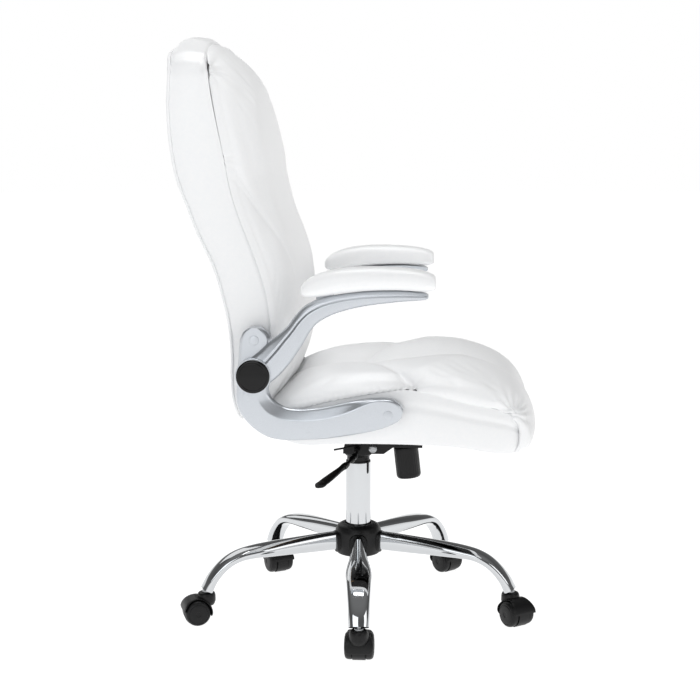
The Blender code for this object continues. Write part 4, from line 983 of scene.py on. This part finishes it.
def star_base():
    """Five chrome legs, the pressed collar round each root, the hub cover and the column tube."""
    column = (COLUMN_X, 0.0, 0.0)
    for number, angle in enumerate(LEG_ANGLES, 1):
        obj = mesh_piece(f"chrome_leg_{number}", *put(leg_solid(), angle, column))
        dress(obj, "chrome_plating", "base", replaces=(f"leg_{number}",))
    low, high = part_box("hub_cover")
    top, bottom = high.z, low.z
    skirt = rounded_profile(((0.0262, top - 0.0015), (0.0268, top), (0.0320, top), (0.0410, top - 0.0045),
                             (0.0462, top - 0.0150), (0.0466, bottom + 0.018), (0.0440, bottom + 0.001),
                             (0.0262, bottom + 0.0005)), 0.0040)
    parts = [revolved(np.vstack((skirt, skirt[:1])), 96)]
    for angle in LEG_ANGLES:
        reach = np.linspace(0.030, 0.0490, 14)
        ease = ((reach - 0.030) / 0.019) ** 2
        path = np.column_stack((reach, np.zeros(14), 0.1400 - 0.0006 * ease))
        collar = swept(path, 0.0190 - 0.0020 * ease, 0.0225 - 0.0015 * ease, around=40, power=2.6)
        parts.append(put(collar, angle))
    points, faces = merged(parts)
    dress(mesh_piece("hub_collar", points + column, faces, 40.0), "black_plastic", "base", replaces=("hub_cover",))
    low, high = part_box("lift_outer_tube")
    radius = (high.x - low.x) / 2
    wall = rounded_profile(((radius - 0.0015, high.z), (radius, high.z), (radius, low.z),
                            (radius - 0.0015, low.z)), 0.0006)
    tube = revolved(np.vstack((wall, wall[:1])), 96)
    dress(mesh_piece("column_tube", tube[0] + column, tube[1]), "chrome_plating", "base",
          replaces=("lift_outer_tube",))
    low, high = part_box("lift_bush")
    rim = rounded_profile(((0.0145, high.z), (radius - 0.0004, high.z), (radius - 0.0004, high.z - 0.0022),
                           (radius - 0.0018, high.z - 0.0026), (radius - 0.0018, high.z - 0.02),
                           (0.0145, high.z - 0.02)), 0.0005)
    bush = revolved(np.vstack((rim, rim[:1])), 72)
    dress(mesh_piece("column_bush", bush[0] + column, bush[1]), "black_plastic", "base", replaces=("lift_bush",))


def wheel_solid(side):
    """Twin-wheel half: a domed outer disc with a sunk ring inside its tread, turned about the axle."""
    outline = rounded_profile((
        (0.0028, 0.0), (0.0240, 0.0), (0.0250, 0.0014), (0.0250, 0.0062), (0.0243, 0.0098), (0.0225, 0.0124),
        (0.0200, 0.0138), (0.0192, 0.0131), (0.0184, 0.0132), (0.0176, 0.0143), (0.0110, 0.0150), (0.0052, 0.0152),
        (0.0048, 0.0144), (0.0030, 0.0144)), 0.0009, 3)
    points, faces = revolved(outline, 56)
    return turned_about(points, "x", -side * math.pi / 2), faces


def hood_solid():
    """Caster body: web between the wheels, fender bowed over them, and the neck that holds the stem."""
    axle = np.array((0.020, 0.0, 0.025))
    arc = np.radians(np.linspace(8.0, 196.0, 40))
    mean = 0.0275
    height = np.clip((np.sin(arc) - 0.35) / 0.65, 0.0, 1.0)
    width = 0.0262 - 0.0075 * height**1.5 - 0.006 * np.clip((np.degrees(arc) - 170.0) / 26.0, 0.0, 1.0) ** 2
    thin = 0.0017 * np.ones(40)
    thin[[0, -1]] = 0.0009
    path = axle + np.column_stack((mean * np.cos(arc), np.zeros(40), mean * np.sin(arc)))
    fender = swept(path, thin, width, up=(0.0, 1.0, 0.0), around=28, power=3.4)
    web_arc = np.radians(np.linspace(-70.0, 250.0, 40))
    rows = []
    for y, radius in ((-0.0118, 0.0180), (-0.0121, 0.0192), (-0.0121, 0.0262), (0.0121, 0.0262), (0.0121, 0.0192),
                      (0.0118, 0.0180)):
        rows.append(axle + np.column_stack((radius * np.cos(web_arc), np.full(40, y), radius * np.sin(web_arc))))
    neck = revolved(rounded_profile(((0.0006, 0.0625), (0.0090, 0.0622), (0.0160, 0.0605), (0.0178, 0.0550),
                                     (0.0180, 0.0440), (0.0150, 0.0360), (0.0006, 0.0350)), 0.0020), 48)
    web = tube_solid(np.array(rows))
    return merged((fender, web, neck))


def casters():
    """Twin-wheel casters under the leg ends, each trailing its own way."""
    hood, wheels = hood_solid(), {"a": wheel_solid(1.0), "b": wheel_solid(-1.0)}
    inner = 0.0122 + 0.0003
    for number, (angle, turn) in enumerate(zip(LEG_ANGLES, CASTER_TURNS), 1):
        foot = (COLUMN_X + STEM_CIRCLE * math.cos(angle), STEM_CIRCLE * math.sin(angle), 0.0)
        body = mesh_piece(f"caster_body_{number}", *put(hood, turn, foot), sharp=42.0)
        dress(body, "black_plastic", f"caster_{number}", replaces=(f"caster_hood_{number}",))
        for letter, side in (("a", 1.0), ("b", -1.0)):
            points, faces = wheels[letter]
            points = points + (0.020, side * inner, 0.025)
            wheel = mesh_piece(f"caster_disc_{number}{letter}", *put((points, faces), turn, foot), sharp=38.0)
            dress(wheel, "black_plastic", f"wheel_{number}{letter}", replaces=(f"caster_wheel_{number}{letter}",))


# ---------------------------------------------------------------- lift and tilt mechanism

def gas_lift():
    """Polished cylinder of the gas lift, a circle turned about the column's axis."""
    low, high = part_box("gas_cylinder")
    radius = (high.x - low.x) / 2
    shape = rounded_profile(((0.0006, high.z), (radius, high.z), (radius, low.z), (0.0006, low.z)), 0.0010)
    points, faces = revolved(shape, 72)
    dress(mesh_piece("lift_cylinder", points + (COLUMN_X, 0, 0), faces), "chrome_plating", "lift",
          replaces=("gas_cylinder",))


def housing_fittings():
    """Domed pin heads, rolled top edges and a stepped collar round the lift's cone."""
    fittings = []
    for x, y, z, size in ((0.031, -0.0505, 0.337, 0.0078), (0.031, 0.0505, 0.337, 0.0078)):
        side = math.copysign(1.0, y)
        head = revolved(rounded_profile(((0.0006, 0.0), (size, 0.0), (size, 0.0022), (0.6 * size, 0.0036),
                                         (0.0006, 0.0040)), 0.0008)[::-1], 28)
        fittings.append((turned_about(head[0], "x", -side * math.pi / 2) + shifted((x, y, z)), head[1]))
    dress(mesh_piece("pin_head_covers", *merged(fittings)), "bare_steel", "lift")
    flanges = []
    for side in (-1.0, 1.0):
        path = shifted(np.column_stack((np.linspace(-0.046, 0.012, 12), np.full(12, side * 0.0425),
                                        np.linspace(0.3325, 0.3435, 12))))
        flanges.append(swept(path, 0.0024, 0.0018, around=12, power=3.0))
    collar = revolved(rounded_profile(((0.0150, 0.3255), (0.0300, 0.3255), (0.0300, 0.3190), (0.0225, 0.3120),
                                       (0.0225, 0.3030), (0.0150, 0.3030), (0.0150, 0.3255)), 0.0012), 56)
    flanges.append((collar[0] + (COLUMN_X, 0, 0), collar[1]))
    dress(mesh_piece("housing_flanges", *merged(flanges)), "black_paint", "lift")


def tension_knob():
    """Knob under the nose: its radius ripples by 0.35 mm x |cos(15 x angle)| between two smooth bands."""
    steps = 240
    profile = rounded_profile(((0.0110, -0.0005), (0.0238, -0.0005), (0.0245, -0.0040), (0.0245, -0.0590),
                               (0.0225, -0.0635), (0.0170, -0.0640), (0.0150, -0.0630), (0.0006, -0.0630)), 0.0014)
    wall = np.column_stack((np.full(30, 0.0245), np.linspace(-0.0055, -0.0575, 30)))
    profile = np.vstack((profile[profile[:, 1] > -0.005], wall, profile[profile[:, 1] < -0.058]))
    turn = np.linspace(0.0, 2 * math.pi, steps, endpoint=False)
    band = np.clip((-0.010 - profile[:, 1]) / 0.003, 0, 1) * np.clip((profile[:, 1] + 0.056) / 0.003, 0, 1)
    ripple = 0.00045 * (np.abs(np.cos(15 * turn))[None, :] - 1.0) * band[:, None]
    radius = profile[:, :1] + ripple
    grid = np.stack((radius * np.cos(turn), radius * np.sin(turn), np.repeat(profile[:, 1:], steps, axis=1)), axis=-1)
    points, faces = tube_solid(grid)
    points = turned_about(points, "y", -math.radians(6.5)) + shifted((0.0945, 0.0, 0.334))
    dress(mesh_piece("tension_knob_ribbed", points, faces), "black_plastic", "tension_knob",
          replaces=("tension_knob",))


def height_lever():
    """Steel rod out of the housing, bent down and back to a flat moulded paddle with a round end."""
    pivot = np.array((COLUMN_X, -0.042, 0.336))
    rod = curve(((0.0, 0.006, 0.0), (0.0, -0.030, 0.0), (0.0, -0.052, 0.0), (-0.001, -0.066, -0.001),
                 (-0.006, -0.082, -0.004), (-0.012, -0.098, -0.007), (-0.018, -0.116, -0.0105)), 50)
    shaft = swept(rod, 0.0034, 0.0034, around=20)
    start, end = np.array((-0.013, -0.101, -0.0078)), np.array((-0.066, -0.173, -0.037))
    share = np.linspace(0.0, 1.0, 44)
    wide = along(((0.0, 0.0046), (0.10, 0.0062), (0.20, 0.0058), (0.45, 0.0086), (0.8, 0.0106), (0.95, 0.0092),
                  (1.0, 0.0040)), share)
    deep = along(((0.0, 0.0046), (0.10, 0.0060), (0.20, 0.0050), (0.45, 0.0042), (0.8, 0.0036), (0.95, 0.0031),
                  (1.0, 0.0014)), share)
    paddle = swept(start + (end - start) * share[:, None], wide, deep, around=32, power=2.6)
    girth = np.array([.0046, .006, .0067, .0068, .0062, .0058, .0060, .0066, .0067, .0060, .0052, .0044])
    boot = swept(np.linspace((-0.0015, -0.060, -0.0012), (-0.0085, -0.089, -0.0055), 12),
                 girth,
                 girth, around=24)
    points, faces = merged((shaft, paddle, boot))
    dress(mesh_piece("height_lever", points + pivot, faces), "black_plastic", "lever", replaces=("lift_lever",))


# ---------------------------------------------------------------- nodes that keep their own shape

KEPT = {
    "bare_steel": ["thrust_bearing", "piston_rod", "tilt_pin", "tension_spring"]
                  + [f"caster_stem_{number}" for number in range(1, 6)]
                  + [f"caster_axle_{number}" for number in range(1, 6)],
    "black_paint": ["base_hub", "tilt_housing", "seat_plate", "lever_sleeve"],
    "plywood": ["seat_board", "back_board"],
    "lining_cloth": ["seat_lining"],
}


def finish_kept_nodes():
    for slot, names in KEPT.items():
        for name in names:
            mesh = NODES[name].data
            mesh.materials.clear()
            mesh.materials.append(material(slot))


def seat_underside():
    """Black lining stretched over the seat's underside: it follows underside() 1.2 mm below it."""
    rim = seat_outline(100)
    bottom = along(SEAT_BOTTOM, rim[:, 0])
    middle = np.array(SEAT_MIDDLE)
    rings = []
    for share, gap in ((0.06, 0.0012), (0.30, 0.0012), (0.55, 0.0012), (0.75, 0.0012), (0.87, 0.0012), (0.885, 0.0006),
                       (0.885, -0.001), (0.55, -0.001), (0.06, -0.001)):
        rings.append(np.column_stack((middle + (rim - middle) * share, underside(share, bottom) - gap)))
    obj = mesh_piece("seat_underside_lining", *tube_solid(shifted(np.array(rings))))
    dress(obj, "lining_cloth", "seat")


# ---------------------------------------------------------------- stage

FLOOR_RADIUS = 30.0
FLOOR_THICKNESS = 0.01


def area_light(name, place, target, size, watts, colour=(1.0, 1.0, 1.0)):
    light = bpy.data.lights.new(name, "AREA")
    light.shape = "RECTANGLE"
    light.size, light.size_y = size
    light.energy = watts
    light.color = colour
    obj = bpy.data.objects.new(name, light)
    obj.location = place
    obj.rotation_euler = (Vector(target) - Vector(place)).to_track_quat("-Z", "Y").to_euler()
    bpy.context.scene.collection.objects.link(obj)


def build_stage():
    scene = bpy.context.scene
    radius = np.concatenate(([0.5], np.linspace(2.0, FLOOR_RADIUS, 15)))
    turn = np.linspace(0.0, 2 * math.pi, 64, endpoint=False)
    disc = np.stack((radius[:, None] * np.cos(turn), radius[:, None] * np.sin(turn), np.zeros((16, 64))), axis=-1)
    points, faces = tube_solid(np.concatenate((disc, disc[-1:] - (0.0, 0.0, FLOOR_THICKNESS))))
    floor = mesh_piece("studio_floor", points, faces)
    floor.data.materials.append(floor_finish(linear("9C9C9C")))
    world = bpy.data.worlds.new("studio")
    scene.world = world
    world.use_nodes = True
    tree = world.node_tree
    background = tree.nodes["Background"]
    view = add(tree, "ShaderNodeTexCoord")
    parts = add(tree, "ShaderNodeSeparateXYZ", Vector=view.outputs["Generated"])
    ramp = add(tree, "ShaderNodeValToRGB", Fac=parts.outputs["Z"])
    stops = ramp.color_ramp.elements
    stops[0].position, stops[0].color = 0.0, (1.0, 1.0, 1.0, 1.0)
    stops[1].position, stops[1].color = 0.13, (1.0, 1.0, 1.0, 1.0)
    for position, grey in ((0.18, 0.16), (0.55, 0.10), (0.90, 0.22)):
        stop = stops.new(position)
        stop.color = (grey, grey, grey, 1.0)
    tree.links.new(ramp.outputs["Color"], background.inputs["Color"])
    background.inputs["Strength"].default_value = 1.0
    area_light("side_softbox", (-1.0, -3.2, 1.9), (0.0, 0.0, 0.6), (2.0, 2.0), 23.0, (0.95, 0.975, 1.0))
    area_light("front_softbox", (2.4, -2.1, 1.8), (0.0, 0.0, 0.55), (1.6, 1.8), 15.0)
    area_light("top_softbox", (0.0, 0.2, 3.4), (0.0, 0.0, 0.4), (1.6, 2.0), 46.0)
    area_light("rear_softbox", (-1.8, 2.8, 2.2), (0.0, 0.0, 0.6), (1.8, 1.8), 10.0)
    camera = bpy.data.cameras.new("studio_camera")
    camera.lens = 69.93
    camera.sensor_width = 36.0
    obj = bpy.data.objects.new("studio_camera", camera)
    obj.location = (COLUMN_X + 0.1301, -2.6613, 0.9122)
    obj.rotation_euler = Vector((-0.0545, 0.9881, -0.1436)).to_track_quat("-Z", "Y").to_euler()
    scene.collection.objects.link(obj)
    scene.camera = obj
    scene.view_settings.view_transform = "Standard"


# ---------------------------------------------------------------- add-on

class ChairSizes(bpy.types.PropertyGroup):
    """Sewing and padding sizes that a user would change."""
    seam_depth: bpy.props.FloatProperty(name="Seam depth", description="How far a sewn seam pulls into the padding",
                                        default=0.007, min=0.0, max=0.02, unit="LENGTH")
    pucker: bpy.props.FloatProperty(name="Pucker height", description="Height of the small folds beside the seat seam",
                                    default=0.0015, min=0.0, max=0.005, unit="LENGTH")
    piping: bpy.props.FloatProperty(name="Piping diameter", description="Diameter of the cord sewn in the back's edges",
                                    default=0.0052, min=0.001, max=0.012, unit="LENGTH")
    boxing_bow: bpy.props.FloatProperty(name="Boxing bow", description="How far the side panels bow outward",
                                        default=0.0045, min=0.0, max=0.02, unit="LENGTH")
    swell: bpy.props.FloatProperty(name="Swell", description="Furthest that the filling may push a cover out",
                                   default=0.006, min=0.0, max=0.02, unit="LENGTH")


def colour_property(name, description, code):
    return bpy.props.FloatVectorProperty(name=name, description=description, default=linear(code), size=4,
                                         min=0.0, max=1.0, subtype="COLOR")


class ChairColours(bpy.types.PropertyGroup):
    """Colours of the chair's finishes."""
    leather: colour_property("Leather", "Coated leather of the seat, back and arm pads", "F7F7F7")
    silver: colour_property("Silver lacquer", "Brackets and arms", "CBCFD4")
    chrome: colour_property("Chrome", "Legs and column", "CDCFD1")
    plastic: colour_property("Nylon", "Casters, hub collar, knob and lever", "101011")
    gloss: colour_property("Gloss cap", "Caps over the arm pivots", "0A0A0B")
    paint: colour_property("Powder coat", "Tilt mechanism and seat plate", "0F0F10")
    steel: colour_property("Zinc plate", "Pins, stems, bearing and spring", "B4B6B8")
    plywood: colour_property("Plywood", "Boards in the seat and back", "D2B48C")
    lining: colour_property("Lining", "Cloth under the seat", "151516")


class CHAIR_OT_seat_boxing(bpy.types.Operator):
    """Build the seat's side boxing"""
    bl_idname = "chair.seat_boxing"
    bl_label = "Seat boxing"

    def execute(self, context):
        seat_boxing()
        return {"FINISHED"}


class CHAIR_OT_seat_pads(bpy.types.Operator):
    """Build the seat's top pads"""
    bl_idname = "chair.seat_pads"
    bl_label = "Seat pads"

    def execute(self, context):
        seat_pads()
        return {"FINISHED"}


class CHAIR_OT_seat_lining(bpy.types.Operator):
    """Build the lining under the seat"""
    bl_idname = "chair.seat_lining"
    bl_label = "Seat lining"

    def execute(self, context):
        seat_underside()
        return {"FINISHED"}


class CHAIR_OT_back_shell(bpy.types.Operator):
    """Build the back shell and the piping on its rear edge"""
    bl_idname = "chair.back_shell"
    bl_label = "Back shell"

    def execute(self, context):
        back_shell()
        back_piping()
        return {"FINISHED"}


class CHAIR_OT_back_cushion(bpy.types.Operator):
    """Build the front cushion of the back"""
    bl_idname = "chair.back_cushion"
    bl_label = "Back cushion"

    def execute(self, context):
        back_front_cushion()
        return {"FINISHED"}


class CHAIR_OT_brackets(bpy.types.Operator):
    """Build the two cast brackets and their screw caps"""
    bl_idname = "chair.brackets"
    bl_label = "Brackets"

    def execute(self, context):
        for suffix, side in SIDES:
            cast_bracket(suffix, side)
        return {"FINISHED"}


class CHAIR_OT_arms(bpy.types.Operator):
    """Build the two arms and their pivot caps"""
    bl_idname = "chair.arms"
    bl_label = "Arms"

    def execute(self, context):
        for suffix, side in SIDES:
            arm_frame(suffix, side)
        return {"FINISHED"}


class CHAIR_OT_arm_pads(bpy.types.Operator):
    """Build the two arm pads"""
    bl_idname = "chair.arm_pads"
    bl_label = "Arm pads"

    def execute(self, context):
        for suffix, side in SIDES:
            arm_pad(suffix, side)
        return {"FINISHED"}


class CHAIR_OT_base(bpy.types.Operator):
    """Build the five-legged base, its collar and the column"""
    bl_idname = "chair.base"
    bl_label = "Base"

    def execute(self, context):
        star_base()
        return {"FINISHED"}


class CHAIR_OT_casters(bpy.types.Operator):
    """Build the five casters"""
    bl_idname = "chair.casters"
    bl_label = "Casters"

    def execute(self, context):
        casters()
        return {"FINISHED"}


class CHAIR_OT_lift(bpy.types.Operator):
    """Build the gas cylinder"""
    bl_idname = "chair.lift"
    bl_label = "Gas lift"

    def execute(self, context):
        gas_lift()
        return {"FINISHED"}


class CHAIR_OT_tension_knob(bpy.types.Operator):
    """Build the tension knob"""
    bl_idname = "chair.tension_knob"
    bl_label = "Tension knob"

    def execute(self, context):
        tension_knob()
        return {"FINISHED"}


class CHAIR_OT_height_lever(bpy.types.Operator):
    """Build the height lever"""
    bl_idname = "chair.height_lever"
    bl_label = "Height lever"

    def execute(self, context):
        height_lever()
        return {"FINISHED"}


class CHAIR_OT_housing_fittings(bpy.types.Operator):
    """Build the pin heads, rolled edges and collar on the tilt housing"""
    bl_idname = "chair.housing_fittings"
    bl_label = "Housing fittings"

    def execute(self, context):
        housing_fittings()
        return {"FINISHED"}


class CHAIR_OT_kept_nodes(bpy.types.Operator):
    """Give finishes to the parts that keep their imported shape"""
    bl_idname = "chair.kept_nodes"
    bl_label = "Kept parts"

    def execute(self, context):
        finish_kept_nodes()
        return {"FINISHED"}


class CHAIR_OT_stage(bpy.types.Operator):
    """Build the floor, the lights and the camera"""
    bl_idname = "chair.stage"
    bl_label = "Stage"

    def execute(self, context):
        build_stage()
        return {"FINISHED"}


OPERATORS = (CHAIR_OT_stage, CHAIR_OT_seat_boxing, CHAIR_OT_seat_pads, CHAIR_OT_seat_lining,
             CHAIR_OT_back_shell, CHAIR_OT_back_cushion, CHAIR_OT_brackets, CHAIR_OT_arms, CHAIR_OT_arm_pads,
             CHAIR_OT_base, CHAIR_OT_casters, CHAIR_OT_lift, CHAIR_OT_tension_knob, CHAIR_OT_height_lever,
             CHAIR_OT_housing_fittings, CHAIR_OT_kept_nodes)


class CHAIR_PT_panel(bpy.types.Panel):
    """Lists the chair's operators, sizes and colours"""
    bl_label = "Swivel Office Chair"
    bl_idname = "CHAIR_PT_panel"
    bl_space_type = "VIEW_3D"
    bl_region_type = "UI"
    bl_category = "Chair"

    def draw(self, context):
        for operator in OPERATORS:
            self.layout.operator(operator.bl_idname)
        for group in (context.scene.chair_sizes, context.scene.chair_colours):
            for name in group.__annotations__:
                self.layout.prop(group, name)


CLASSES = (ChairSizes, ChairColours) + OPERATORS + (CHAIR_PT_panel,)


def register():
    for cls in CLASSES:
        bpy.utils.register_class(cls)
    bpy.types.Scene.chair_sizes = bpy.props.PointerProperty(type=ChairSizes)
    bpy.types.Scene.chair_colours = bpy.props.PointerProperty(type=ChairColours)


def unregister():
    del bpy.types.Scene.chair_colours
    del bpy.types.Scene.chair_sizes
    for cls in reversed(CLASSES):
        bpy.utils.unregister_class(cls)


def main():
    register()
    for operator in OPERATORS:
        family, name = operator.bl_idname.split(".")
        getattr(getattr(bpy.ops, family), name)()


if __name__ == "__main__":
    main()
